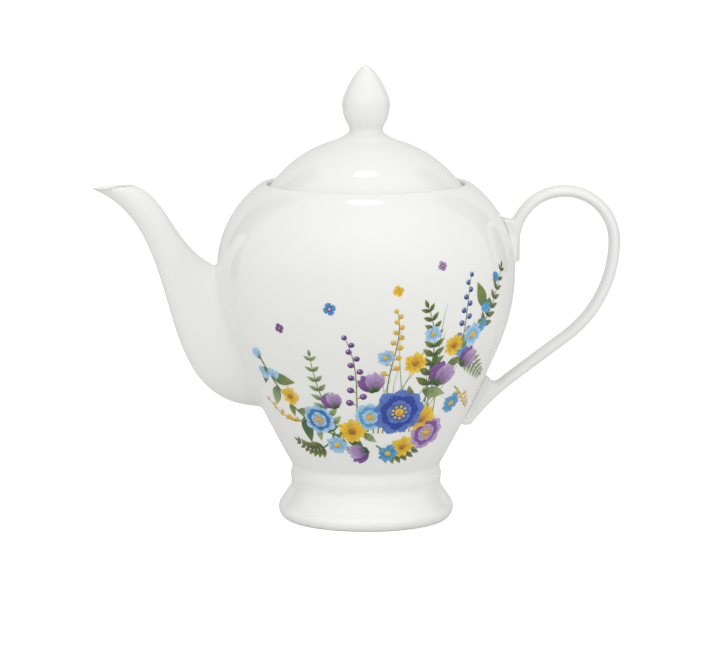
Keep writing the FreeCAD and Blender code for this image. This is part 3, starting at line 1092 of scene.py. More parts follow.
@dataclass
class Handle:
    """The strap that loops up from the shoulder, runs back down and lies on the flank."""

    shape: PotShape
    materials: Materials
    width: float = 0.011
    thickness: float = 0.0053
    set_in: float = 0.0006
    end_rise: float = 0.0024
    loop_rise: float = 0.0127
    loop_curve: float = 0.0225
    back_curve: float = 0.054
    slope: float = math.radians(37.0)
    tail_curve: float = 0.110
    tail_drop: float = 0.0674
    tail_lift: float = 0.0019
    end_trim: float = 0.0022
    end_round: tuple[Point, ...] = (
        (0.0004, 0.98),
        (0.0007, 0.93),
        (0.0009, 0.84),
        (0.0010, 0.6),
        (0.0010, 0.02),
    )
    web_curve: float = 0.0033
    web_bury: float = 0.0008
    web_probe: float = 0.0001
    joint: float = 0.0024
    flare: float = 0.7
    feather: float = 0.0017
    feather_run: int = 12
    tail_over: float = 0.0012
    around: int = 64

    def path(self) -> list[tuple[Vector, float]]:
        """Middle line of the strap, as points in run and level with the way they head.

        Returns:
            The points from the upper end to the tail, each with its heading in radians.
        """
        belly = self.shape.belly_level
        start = Vector((self.shape.belly_radius - self.set_in, belly + self.end_rise + self.end_trim))
        loop_level = belly + self.loop_rise
        centre = Vector((start.x + self.loop_curve, loop_level))
        line = [(Vector((start.x, z)), math.pi / 2) for z in np.linspace(start.y, loop_level, 20)[:-1]]
        for turn in np.linspace(math.pi, 0.0, 150)[:-1]:
            line.append((centre + pointing(turn) * self.loop_curve, turn - math.pi / 2))
        far = centre.x + self.loop_curve
        back = Vector((far - self.back_curve, loop_level))
        sweep = math.pi / 2 - self.slope
        for turn in np.linspace(0.0, -sweep, 24):
            line.append((back + pointing(turn) * self.back_curve, turn - math.pi / 2))
        leave, heading = line[-1]
        ahead = pointing(heading)
        side = Vector((-ahead.y, ahead.x))
        tail_level = belly - self.tail_drop
        bed = self.shape.flank_centre
        bed_curve = self.shape.flank_curve + self.tail_lift
        end = Vector((bed[0] + math.sqrt(bed_curve**2 - (tail_level - bed[1]) ** 2), tail_level))
        run = end - leave
        drop = -run.dot(side)
        reach = run.dot(ahead)
        rise = abs(drop)
        sway = math.sqrt(max(2 * self.tail_curve * rise - rise**2, 0.0))
        sign = 1.0 if drop < 0.0 else -1.0
        for share in np.linspace(0.0, 1.0, 50)[1:]:
            line.append((leave + ahead * ((reach - sway) * share), heading))
        pivot = leave + ahead * (reach - sway) + side * (self.tail_curve * sign)
        full = math.asin(min(sway / self.tail_curve, 1.0))
        for bend in np.linspace(0.0, full, 60)[1:]:
            offset = ahead * math.sin(bend) - side * (math.cos(bend) * sign)
            line.append((pivot + offset * self.tail_curve, heading + bend * sign))
        return line

    def ring(
        self, middle: Vector, heading: float, fullness: float, ball: Vector | None = None, slant: float = 0.0
    ) -> list[Vector]:
        """Section of the strap.

        Args:
            middle: Middle of the section, as run and level.
            heading: Way the strap heads there.
            fullness: Share of the section's full size.
            ball: Middle of the ball that shapes the web, where there is one.
            slant: Half of how far the side toward the pot runs ahead of the far side.

        Returns:
            The ring of points.
        """
        ahead = pointing(heading)
        side = Vector((ahead.y, -ahead.x))
        fill = self.swelling(middle, side, ball)
        back_fill = self.swelling(middle, -side, ball)
        points = []
        for turn in np.linspace(0.0, 2 * math.pi, self.around, endpoint=False):
            share = math.cos(turn)
            depth = self.thickness / 2 * share * fullness
            depth += fill * max(share, 0.0) ** 0.5 - back_fill * max(-share, 0.0) ** 0.5
            across = self.width / 2 * math.sin(turn) * fullness
            flat = middle + side * depth + ahead * (slant * (1 + share))
            apart = max(self.clearance(Vector((math.hypot(flat.x, across), flat.y))), 0.0)
            flare = self.flare * self.joint * max(1 - apart / self.joint, 0.0) ** 2 * fullness
            across += math.copysign(flare, across) * min(abs(math.sin(turn)) * 4, 1.0)
            points.append(self.clear_of_inside(Vector((flat.x, across, flat.y))))
        return points

    def clearance(self, place: Vector) -> float:
        """How far a place, as run and level, is from the pot's outside."""
        return (place.x - self.shape.radius_at(place.y)) * self.shape.normal_at(place.y).x

    def rest_ball(self, line: Sequence[tuple[Vector, float]]) -> tuple[int, Vector]:
        """Find where a ball rolled into the corner between strap and pot comes to rest.

        Args:
            line: Middle line of the strap, from the joint outward.

        Returns:
            The number of sections below the ball, and the ball's middle.
        """
        for place, (middle, heading) in enumerate(line):
            side = Vector((math.sin(heading), -math.cos(heading)))
            if side.dot(self.shape.normal_at(middle.y)) > 0.0:
                side.negate()
            ball = middle + side * (self.thickness / 2 + self.web_curve)
            if self.clearance(ball) > self.web_curve:
                return place, ball
        raise ValueError("the strap never leaves the pot")

    def swelling(self, middle: Vector, way: Vector, ball: Vector | None) -> float:
        """How far the strap swells to fill the corner between it and the pot.

        Args:
            middle: Middle of the section, as run and level.
            way: Direction to look in.
            ball: Middle of the ball that shapes the web, where there is one.

        Returns:
            The swelling.
        """
        if ball is None or way.dot(self.shape.normal_at(middle.y)) >= 0.0:
            return 0.0
        edge = middle + way * (self.thickness / 2)
        gap = 0.0
        while self.clearance(edge + way * gap) > 0.0 and gap < 4 * self.web_curve:
            gap += self.web_probe
        reach = (ball - edge).dot(way)
        miss = (ball - edge).length_squared - reach**2
        if miss < self.web_curve**2:
            return max(min(reach - math.sqrt(self.web_curve**2 - miss), gap + self.web_bury), 0.0)
        return gap + self.web_bury

    def clear_of_inside(self, point: Vector) -> Vector:
        """Keep a point from coming through the pot's wall.

        Args:
            point: The point.

        Returns:
            The point, moved out to the middle of the wall where it lay deeper.
        """
        floor = self.shape.radius_at(point.z) - self.shape.wall * 0.5
        level = math.hypot(point.x, point.y)
        if level >= floor:
            return point
        return Vector((point.x * floor / level, point.y * floor / level, point.z))

    def build(self) -> bpy.types.Object:
        """Make the strap with softened square ends and glaze it.

        Returns:
            The piece.
        """
        line = self.path()
        rings = []
        upper_count, upper_ball = self.rest_ball(line)
        tail_count, tail_ball = self.rest_ball(line[::-1])
        for place, (middle, heading) in enumerate(line):
            left = len(line) - 1 - place
            ball = upper_ball if place < upper_count else tail_ball if left < tail_count else None
            slant = self.feather * max(1 - left / self.feather_run, 0.0)
            rings.append(self.ring(middle, heading, 1.0, ball, slant))
        for out, fullness in self.end_round:
            middle, heading = line[0]
            back = middle - pointing(heading) * out
            rings.insert(0, self.ring(back, heading, fullness, upper_ball))
            middle, heading = line[-1]
            ahead = middle + pointing(heading) * (self.tail_over + out)
            rings.append(self.ring(ahead, heading, fullness, tail_ball, self.feather * fullness))
        piece = wrap_grid("porcelain_handle", rings)
        piece.data.materials.append(self.materials.glaze)
        settle(piece, Body.POT, "handle")
        return piece


def paint_colour(red: int, green: int, blue: int) -> Colour:
    """Turn a colour as seen, 0 to 255, into the linear colour that the paint holds.

    Args:
        red: Red part.
        green: Green part.
        blue: Blue part.

    Returns:
        The linear colour.
    """
    shares = [value / 255 for value in (red, green, blue)]
    linear = [share / 12.92 if share <= 0.04045 else ((share + 0.055) / 1.055) ** 2.4 for share in shares]
    return (linear[0], linear[1], linear[2])


class Paint(Enum):
    """Colours of the painted flowers."""

    NIGHT = paint_colour(24, 32, 104)
    COBALT = paint_colour(38, 66, 168)
    CORN = paint_colour(92, 128, 208)
    SKY = paint_colour(92, 166, 216)
    MIST = paint_colour(176, 212, 238)
    TEAL = paint_colour(36, 132, 178)
    YELLOW = paint_colour(246, 206, 40)
    HONEY = paint_colour(206, 150, 22)
    RUST = paint_colour(140, 84, 26)
    PLUM = paint_colour(88, 36, 104)
    VIOLET = paint_colour(136, 88, 164)
    LILAC = paint_colour(196, 168, 214)
    GREEN = paint_colour(78, 116, 58)
    FOREST = paint_colour(40, 74, 40)
    OLIVE = paint_colour(134, 142, 60)
    SAGE = paint_colour(172, 186, 128)


Tones = tuple[Paint, Paint]
GOLD: Tones = (Paint.HONEY, Paint.YELLOW)
RUSTY: Tones = (Paint.RUST, Paint.HONEY)
INKY: Tones = (Paint.NIGHT, Paint.CORN)
MAUVE: Tones = (Paint.PLUM, Paint.VIOLET)
PALE_SKY: Tones = (Paint.SKY, Paint.MIST)
DEEP_SKY: Tones = (Paint.TEAL, Paint.SKY)
STALK: Tones = (Paint.GREEN, Paint.OLIVE)


def fade(tones: Tones, share: np.ndarray) -> np.ndarray:
    """Blend from the first tone to the second, by a column of shares."""
    return np.array(tones[0].value) * (1 - share) + np.array(tones[1].value) * share


class Stroke(Enum):
    """Outlines of a brush stroke, each as fullness, skew toward the tip, bluntness and notch."""

    PETAL = (0.46, 0.70, 0.55, 0.06)
    HEART = (0.52, 0.62, 0.60, 0.20)
    RAY = (0.20, 0.80, 0.50, 0.05)
    LEAF = (0.22, 1.25, 1.05, 0.0)
    BLADE = (0.12, 1.10, 1.00, 0.0)
    CUP = (0.40, 0.95, 0.80, 0.0)
    DROP = (0.50, 1.00, 0.50, 0.0)


@dataclass
class Canvas:
    """The pot's outside as a sheet to paint on, measured along its outline."""

    shape: PotShape
    count: int = 500

    def __post_init__(self) -> None:
        """Measure the outline from the waist to the rim."""
        self.levels = np.linspace(self.shape.waist_level + 0.001, self.shape.rim_level - 0.004, self.count)
        self.radii = np.array([self.shape.radius_at(level) for level in self.levels])
        steps = np.hypot(np.diff(self.levels), np.diff(self.radii))
        self.runs = np.concatenate(([0.0], np.cumsum(steps)))
        self.lean_out = np.gradient(self.levels, self.runs)
        self.lean_up = -np.gradient(self.radii, self.runs)

    def lay(self, spot: Point, flat: np.ndarray, lift: float) -> np.ndarray:
        """Wrap flat points onto the pot.

        Args:
            spot: Place of the flat origin, as degrees from the front and level.
            flat: Points as across and up, in metres.
            lift: Height above the glaze.

        Returns:
            The points in space.
        """
        base = np.interp(spot[1], self.levels, self.runs)
        run = base + flat[:, 1]
        turn = math.radians(spot[0]) + flat[:, 0] / np.interp(base, self.runs, self.radii)
        radius = np.interp(run, self.runs, self.radii) + np.interp(run, self.runs, self.lean_out) * lift
        level = np.interp(run, self.runs, self.levels) + np.interp(run, self.runs, self.lean_up) * lift
        return np.column_stack((radius * np.sin(turn), -radius * np.cos(turn), level))


@dataclass
class Brush:
    """Stamps petals, leaves and stems onto the canvas, each a copy of a shaped grid."""

    canvas: Canvas
    columns: int = 6
    rows: int = 10
    lift: float = 0.00003
    layer_step: float = 0.000008
    vein_depth: float = 0.22
    vein_width: float = 0.06
    stem_points: int = 29
    strokes: list[bpy.types.Object] = field(default_factory=list)
    shapes: dict[Stroke, bpy.types.Object] = field(default_factory=dict)

    def shaped(self, stroke: Stroke) -> bpy.types.Object:
        """Give the grid for a stroke, shaping it the first time.

        Args:
            stroke: The stroke.

        Returns:
            The shaped grid.
        """
        if stroke not in self.shapes:
            fullness, skew, blunt, notch = stroke.value
            grid = new_grid(self.columns, self.rows)
            places = read_points(grid.data)
            side = places[:, 0] * 2
            along = np.clip(places[:, 1] + 0.5, 0.0, 1.0)
            half = fullness * np.clip(np.sin(np.pi * along ** (1 / skew)), 0.0, 1.0) ** blunt
            places[:, 0] = side * half
            places[:, 1] = along - notch * (1 - side**2) * along**6
            move_points(grid.data, places)
            self.shapes[stroke] = grid
        return self.shapes[stroke]

    def paint(self, mesh: bpy.types.Mesh, colours: np.ndarray) -> None:
        """Write a colour for each corner point of a mesh.

        Args:
            mesh: The mesh.
            colours: A row of red, green and blue for each point.
        """
        layer = mesh.color_attributes.new("paint", "FLOAT_COLOR", "POINT")
        solid = np.column_stack((colours, np.ones(len(colours))))
        layer.data.foreach_set("color", solid.astype(np.float32).ravel())

    def stamp(
        self,
        stroke: Stroke,
        spot: Point,
        size: Point,
        angle: float,
        tones: Tones,
        layer: int,
        shift: Point = (0.0, 0.0),
    ) -> None:
        """Paint one stroke.

        Args:
            stroke: Its outline.
            spot: Place of the motif, as degrees from the front and level.
            size: Length and width, in metres.
            angle: Way it points, in degrees from straight up, to the left.
            tones: Colours at its root and at its tip.
            layer: How many layers of paint lie under it.
            shift: Place of its root in the motif, across and up.
        """
        grid = self.shaped(stroke)
        copy = grid.copy()
        copy.data = grid.data.copy()
        bpy.context.scene.collection.objects.link(copy)
        places = read_points(copy.data)
        across = places[:, 0] * size[1]
        up = places[:, 1] * size[0]
        turn = math.radians(angle)
        flat = np.column_stack((
            shift[0] + across * math.cos(turn) - up * math.sin(turn),
            shift[1] + across * math.sin(turn) + up * math.cos(turn),
        ))
        lift = self.lift + layer * self.layer_step
        move_points(copy.data, self.canvas.lay(spot, flat, lift))
        share = np.clip(places[:, 1], 0.0, 1.0)[:, None]
        vein = 1 - self.vein_depth * np.exp(-((places[:, 0] / self.vein_width) ** 2))[:, None] * (1 - share)
        self.paint(copy.data, fade(tones, share) * vein)
        self.strokes.append(copy)

    def disc(self, spot: Point, radius: float, tones: Tones, layer: int, shift: Point = (0.0, 0.0)) -> None:
        """Paint a round dab.

        Args:
            spot: Place of the motif.
            radius: Radius of the dab.
            tones: Colours at its lower and upper edge.
            layer: How many layers of paint lie under it.
            shift: Middle of the dab in the motif.
        """
        root = (shift[0], shift[1] - radius)
        self.stamp(Stroke.DROP, spot, (radius * 2, radius * 2), 0.0, tones, layer, root)

    def stem(self, spots: Sequence[Point], widths: Point, tones: Tones, layer: int) -> None:
        """Paint a thin curved stem.

        Args:
            spots: Four control points, as degrees from the front and level.
            widths: Width at its root and at its tip.
            tones: Colours at its root and at its tip.
            layer: How many layers of paint lie under it.
        """
        controls = [Vector(spot) for spot in spots]
        shares = np.linspace(0.0, 1.0, self.stem_points)
        line = [bezier(controls, share) for share in shares]
        ribbon = new_grid(1, len(line) - 1)
        places = []
        for number, spot in enumerate(line):
            beside = line[min(number + 1, len(line) - 1)] - line[max(number - 1, 0)]
            radius = self.canvas.shape.radius_at(spot.y)
            way = Vector((math.radians(beside.x) * radius, beside.y)).normalized()
            half = (widths[0] + (widths[1] - widths[0]) * shares[number]) / 2
            flat = np.array([[-way.y * half, way.x * half], [way.y * half, -way.x * half]])
            places.append(self.canvas.lay((spot.x, spot.y), flat, self.lift + layer * self.layer_step))
        move_points(ribbon.data, np.concatenate(places))
        self.paint(ribbon.data, fade(tones, np.repeat(shares, 2)[:, None]))
        self.strokes.append(ribbon)

    def gather(self, name: str) -> bpy.types.Object:
        """Join every stroke into one piece and drop the shapes.

        Args:
            name: Name of the piece.

        Returns:
            The piece.
        """
        for shape in self.shapes.values():
            bpy.data.objects.remove(shape)
        bpy.ops.object.select_all(action="DESELECT")
        for stroke in self.strokes:
            stroke.select_set(True)
        bpy.context.view_layer.objects.active = self.strokes[0]
        bpy.ops.object.join()
        piece = bpy.context.object
        piece.name = name
        bpy.ops.object.transform_apply(location=True, rotation=True, scale=True)
        bpy.ops.object.shade_smooth()
        return piece


@dataclass
class Garland:
    """A crescent of painted garden flowers across the front of the pot."""

    brush: Brush
    materials: Materials
    line: tuple[Point, Point, Point, Point] = ((-52.0, 0.080), (-40.0, 0.036), (14.0, 0.020), (57.0, 0.112))
    leaf_count: int = 26
    grass_count: int = 14
    twig_layer: int = 3
    sprig_layer: int = 2

    def along(self, share: float) -> Point:
        """Place at a share of the way along the main stem."""
        place = bezier([Vector(spot) for spot in self.line], share)
        return (place.x, place.y)

    def rosette(self, spot: Point, radius: float, tones: Sequence[Paint], base: int) -> None:
        """Paint a full round bloom of three rings of petals.

        Args:
            spot: Its place.
            radius: Its radius.
            tones: Deep, middle and light colour.
            base: Layers of paint under it.
        """
        deep, middle, light = tones
        rings = (
            (9, 1.0, 0.62, 0.0, (deep, light)),
            (7, 0.74, 0.56, 21.0, (deep, middle)),
            (5, 0.5, 0.5, 8.0, (deep, light)),
        )
        for layer, (count, reach, width, turn, pair) in enumerate(rings):
            for number in range(count):
                angle = turn + 360.0 * number / count
                wave = 1 + 0.06 * math.sin(2.3 * number + layer)
                size = (radius * reach * wave, radius * width)
                self.brush.stamp(Stroke.HEART, spot, size, angle, pair, base + layer * 2 + number % 2)
        self.brush.disc(spot, radius * 0.17, GOLD, base + 7)
        for number in range(9):
            turn = 2 * math.pi * number / 9
            shift = (radius * 0.25 * math.cos(turn), radius * 0.25 * math.sin(turn))
            self.brush.disc(spot, radius * 0.05, (Paint.YELLOW, Paint.YELLOW), base + 8, shift)

    def daisy(self, spot: Point, radius: float, tones: Tones, heart: Tones, base: int) -> None:
        """Paint a flower of narrow rays round a dab.

        Args:
            spot: Its place.
            radius: Its radius.
            tones: Colours of a ray at its root and tip.
            heart: Colours of the dab.
            base: Layers of paint under it.
        """
        for number in range(12):
            angle = 360.0 * number / 12 + 7.0 * math.sin(1.7 * number)
            size = (radius * (0.92 + 0.08 * math.cos(2.9 * number)), radius * 1.05)
            self.brush.stamp(Stroke.RAY, spot, size, angle, tones, base + number % 2)
        self.brush.disc(spot, radius * 0.27, heart, base + 2)

    def tulip(self, spot: Point, length: float, angle: float, tones: Tones, base: int) -> None:
        """Paint a cup of five petals seen from the side.

        Args:
            spot: Foot of the cup.
            length: Its length.
            angle: Way it points.
            tones: Colours at its foot and lip.
            base: Layers of paint under it.
        """
        petals = ((-34.0, 0.92), (34.0, 0.92), (-17.0, 1.0), (17.0, 1.0), (0.0, 0.95))
        for layer, (fan, reach) in enumerate(petals):
            pair = tones if layer % 2 else (tones[0], Paint.LILAC)
            size = (length * reach, length * 0.62)
            self.brush.stamp(Stroke.CUP, spot, size, angle + fan, pair, base + layer)
        sepal = (length * 0.34, length * 0.42)
        for fan in (-58.0, 0.0, 58.0):
            self.brush.stamp(Stroke.LEAF, spot, sepal, angle + fan, (Paint.FOREST, Paint.GREEN), base + 6)

    def bell(self, spot: Point, length: float, angle: float, tones: Tones, base: int) -> None:
        """Paint a hanging bell with a turned lip.

        Args:
            spot: Where it hangs from.
            length: Its length.
            angle: Way it hangs.
            tones: Colours at its crown and lip.
            base: Layers of paint under it.
        """
        for layer, fan in enumerate((-20.0, 20.0, 0.0)):
            self.brush.stamp(Stroke.PETAL, spot, (length, length * 0.62), angle + fan, tones, base + layer)
        self.brush.stamp(Stroke.CUP, spot, (length * 0.36, length * 0.5), angle, STALK, base + 3)

    def growth(self, controls: Sequence[Vector], share: float, step: float) -> tuple[Point, float]:
        """Find a place on a stem and the way that the stem grows there.

        Args:
            controls: Control points of the stem.
            share: How far along the stem.
            step: How far to look ahead and back.

        Returns:
            The place, and the way in degrees from straight up, to the left.
        """
        place = bezier(controls, share)
        heading = bezier(controls, min(share + step, 1.0)) - bezier(controls, share - step)
        run = math.radians(heading.x) * self.brush.canvas.shape.radius_at(place.y)
        return (place.x, place.y), math.degrees(math.atan2(-run, heading.y))

    def sprig(self, spots: Sequence[Point], leaf: float, pairs: int, tones: Tones) -> None:
        """Paint a stem with pairs of leaves that shrink toward its tip.

        Args:
            spots: Control points of the stem.
            leaf: Length of the largest leaf.
            pairs: Number of pairs.
            tones: Colours of a leaf at its root and tip.
        """
        base = self.sprig_layer
        self.brush.stem(spots, (0.0008, 0.0004), STALK, base)
        controls = [Vector(spot) for spot in spots]
        for number in range(pairs):
            share = 0.16 + 0.8 * number / max(pairs - 1, 1)
            spot, angle = self.growth(controls, share, 0.03)
            size = (leaf * (1.05 - 0.55 * share), leaf * (1.0 - 0.5 * share))
            for fan in (-52.0, 52.0):
                self.brush.stamp(Stroke.LEAF, spot, size, angle + fan, tones, base + 1)
        self.brush.stamp(Stroke.LEAF, spots[-1], (leaf * 0.5, leaf * 0.5), angle, tones, base + 1)

    def berries(self, spots: Sequence[Point], radius: float, count: int, tones: Tones) -> None:
        """Paint a twig with round berries on short stalks.

        Args:
            spots: Control points of the twig.
            radius: Radius of a berry.
            count: Number of berries.
            tones: Colours of a berry.
        """
        base = self.twig_layer
        self.brush.stem(spots, (0.0007, 0.0003), (Paint.OLIVE, Paint.GREEN), base)
        controls = [Vector(spot) for spot in spots]
        for number in range(count):
            share = 0.3 + 0.7 * number / (count - 1)
            place = bezier(controls, share)
            side = 1 if number % 2 else -1
            shift = (side * radius * 1.9 * (1.25 - share), radius * 0.8)
            spot = (place.x, place.y)
            size = (math.hypot(*shift), 0.0022)
            angle = math.degrees(math.atan2(-shift[0], shift[1]))
            self.brush.stamp(Stroke.BLADE, spot, size, angle, (Paint.OLIVE, Paint.OLIVE), base)
            self.brush.disc(spot, radius * (1.1 - 0.35 * share), tones, base + 1, shift)
            gleam = (shift[0] - radius * 0.25, shift[1] + radius * 0.3)
            self.brush.disc(spot, radius * 0.22, (Paint.LILAC, Paint.MIST), base + 2, gleam)

    def floret(self, spot: Point, radius: float, tones: Tones) -> None:
        """Paint a loose floret of four round petals.

        Args:
            spot: Its place.
            radius: Its radius.
            tones: Colours of a petal at its root and tip.
        """
        size = (radius, radius * 0.95)
        for number in range(4):
            self.brush.stamp(Stroke.HEART, spot, size, 90.0 * number + 20.0, tones, number % 2)
        self.brush.disc(spot, radius * 0.2, GOLD, 2)

    def leaves(self) -> None:
        """Paint the main stem and the leaves along it."""
        self.brush.stem(self.line, (0.0011, 0.0006), STALK, 0)
        controls = [Vector(spot) for spot in self.line]
        greens = ((Paint.FOREST, Paint.GREEN), STALK, (Paint.GREEN, Paint.SAGE))
        for number in range(self.leaf_count):
            share = 0.04 + 0.92 * number / (self.leaf_count - 1)
            spot, angle = self.growth(controls, share, 0.02)
            fan = (48.0 if number % 2 else -48.0) + 12.0 * math.sin(2.1 * number)
            length = 0.0105 + 0.0035 * math.sin(1.3 * number)
            tones = greens[number % len(greens)]
            self.brush.stamp(Stroke.LEAF, spot, (length, length), angle + fan, tones, 1 + number % 2)

    def sprays(self) -> None:
        """Paint the sprigs and twigs that rise from the main stem."""
        fresh = (Paint.GREEN, Paint.SAGE)
        dull = (Paint.FOREST, Paint.OLIVE)
        self.sprig(((-18.0, 0.044), (-20.0, 0.056), (-24.0, 0.066), (-24.0, 0.082)), 0.0075, 8, fresh)
        self.sprig(((30.0, 0.060), (28.0, 0.078), (30.0, 0.090), (24.0, 0.104)), 0.0085, 9, dull)
        self.sprig(((44.0, 0.080), (52.0, 0.078), (58.0, 0.072), (64.0, 0.070)), 0.0075, 6, fresh)
        self.sprig(((6.0, 0.040), (18.0, 0.034), (28.0, 0.034), (38.0, 0.042)), 0.0080, 8, dull)
        self.berries(((-4.0, 0.046), (-6.0, 0.062), (-2.0, 0.074), (-8.0, 0.090)), 0.0017, 11, MAUVE)
        self.berries(((40.0, 0.070), (44.0, 0.086), (40.0, 0.098), (43.0, 0.116)), 0.0016, 12, INKY)
        self.berries(((-34.0, 0.052), (-42.0, 0.048), (-50.0, 0.050), (-58.0, 0.058)), 0.0014, 9, GOLD)
        self.berries(((10.0, 0.060), (8.0, 0.076), (15.0, 0.088), (12.0, 0.102)), 0.0015, 13, GOLD)
        self.berries(((46.0, 0.066), (54.0, 0.062), (60.0, 0.056), (66.0, 0.054)), 0.0014, 9, GOLD)
        self.sprig(((50.0, 0.090), (56.0, 0.098), (58.0, 0.108), (63.0, 0.118)), 0.0070, 7, dull)
        self.sprig(((-24.0, 0.040), (-32.0, 0.036), (-38.0, 0.036), (-46.0, 0.040)), 0.0065, 7, dull)
        self.grasses()

    def grasses(self) -> None:
        """Paint fine blades of grass that fan out behind the flowers."""
        for number in range(self.grass_count):
            root = 4.0 + 2.6 * number
            tip = root + 16.0 * math.sin(0.9 * number) + 3.0
            height = 0.072 + 0.014 * math.sin(2.4 * number) + 0.0018 * number
            spots = ((root, 0.046), (root, 0.058), (tip, height - 0.010), (tip + 4.0, height))
            self.brush.stem(spots, (0.0007, 0.0002), (Paint.OLIVE, Paint.SAGE), number % 2)

    def blooms(self) -> None:
        """Paint the flowers."""
        self.rosette((17.0, 0.056), 0.0122, (Paint.NIGHT, Paint.COBALT, Paint.CORN), 12)
        self.rosette((-26.0, 0.052), 0.0078, (Paint.COBALT, Paint.TEAL, Paint.MIST), 12)
        self.tulip((33.0, 0.068), 0.0125, -24.0, MAUVE, 8)
        self.tulip((4.0, 0.066), 0.0105, 18.0, MAUVE, 8)
        self.tulip((1.0, 0.038), 0.0095, 118.0, MAUVE, 8)
        self.rosette((37.0, 0.045), 0.0090, (Paint.PLUM, Paint.VIOLET, Paint.LILAC), 9)
        self.rosette((2.0, 0.054), 0.0074, (Paint.TEAL, Paint.SKY, Paint.MIST), 9)
        self.tulip((45.0, 0.076), 0.0105, -38.0, MAUVE, 8)
        self.tulip((-15.0, 0.058), 0.0085, 26.0, MAUVE, 8)
        daisies = (
            ((23.0, 0.039), 0.0062, GOLD, RUSTY, 9),
            ((-18.0, 0.040), 0.0054, PALE_SKY, GOLD, 9),
            ((38.0, 0.086), 0.0056, GOLD, RUSTY, 9),
            ((27.0, 0.092), 0.0044, PALE_SKY, GOLD, 9),
            ((48.0, 0.058), 0.0056, DEEP_SKY, GOLD, 9),
            ((-8.0, 0.047), 0.0068, GOLD, RUSTY, 10),
            ((31.0, 0.052), 0.0074, GOLD, RUSTY, 10),
            ((21.0, 0.079), 0.0058, GOLD, RUSTY, 10),
            ((-40.0, 0.062), 0.0052, GOLD, RUSTY, 10),
            ((47.0, 0.090), 0.0060, PALE_SKY, GOLD, 10),
            ((8.0, 0.082), 0.0042, PALE_SKY, GOLD, 10),
            ((14.0, 0.036), 0.0050, DEEP_SKY, GOLD, 10),
        )
        for spot, radius, tones, heart, base in daisies:
            self.daisy(spot, radius, tones, heart, base)
        bells = (
            (0.90, 0.0078, 150.0, DEEP_SKY),
            (0.94, 0.0072, -140.0, DEEP_SKY),
            (0.975, 0.0064, 160.0, DEEP_SKY),
            (1.0, 0.0052, -30.0, DEEP_SKY),
            (0.015, 0.0062, 30.0, PALE_SKY),
            (0.05, 0.0066, 120.0, PALE_SKY),
            (0.09, 0.0064, -20.0, PALE_SKY),
        )
        for share, length, angle, tones in bells:
            self.bell(self.along(share), length, angle, tones, 7)

    def loose(self) -> None:
        """Paint the loose florets above the crescent."""
        self.floret((-14.0, 0.104), 0.0030, (Paint.COBALT, Paint.SKY))
        self.floret((-36.0, 0.094), 0.0024, MAUVE)
        self.floret((12.0, 0.112), 0.0026, GOLD)
        self.floret((30.0, 0.122), 0.0024, (Paint.PLUM, Paint.LILAC))

    def build(self) -> bpy.types.Object:
        """Paint the whole garland and fire it onto the pot.

        Returns:
            The piece.
        """
        self.leaves()
        self.sprays()
        self.blooms()
        self.loose()
        piece = self.brush.gather("painted_garland")
        piece.data.materials.append(self.materials.paint)
        settle(piece, Body.POT)
        return piece


@dataclass(frozen=True)
class Lamp:
    """A soft oval lamp.

    Attributes:
        name: Its name.
        place: Where it hangs.
        size: Its width and height.
        power: Its power, in watts.
        mirrored: Whether the glaze mirrors it.
        target: Place that it faces, or None for the middle of the pot.
        beam: Full angle of its beam.
    """

    name: str
    place: Place
    size: Point
    power: float
    mirrored: bool = False
    target: Place | None = None
    beam: float = math.pi


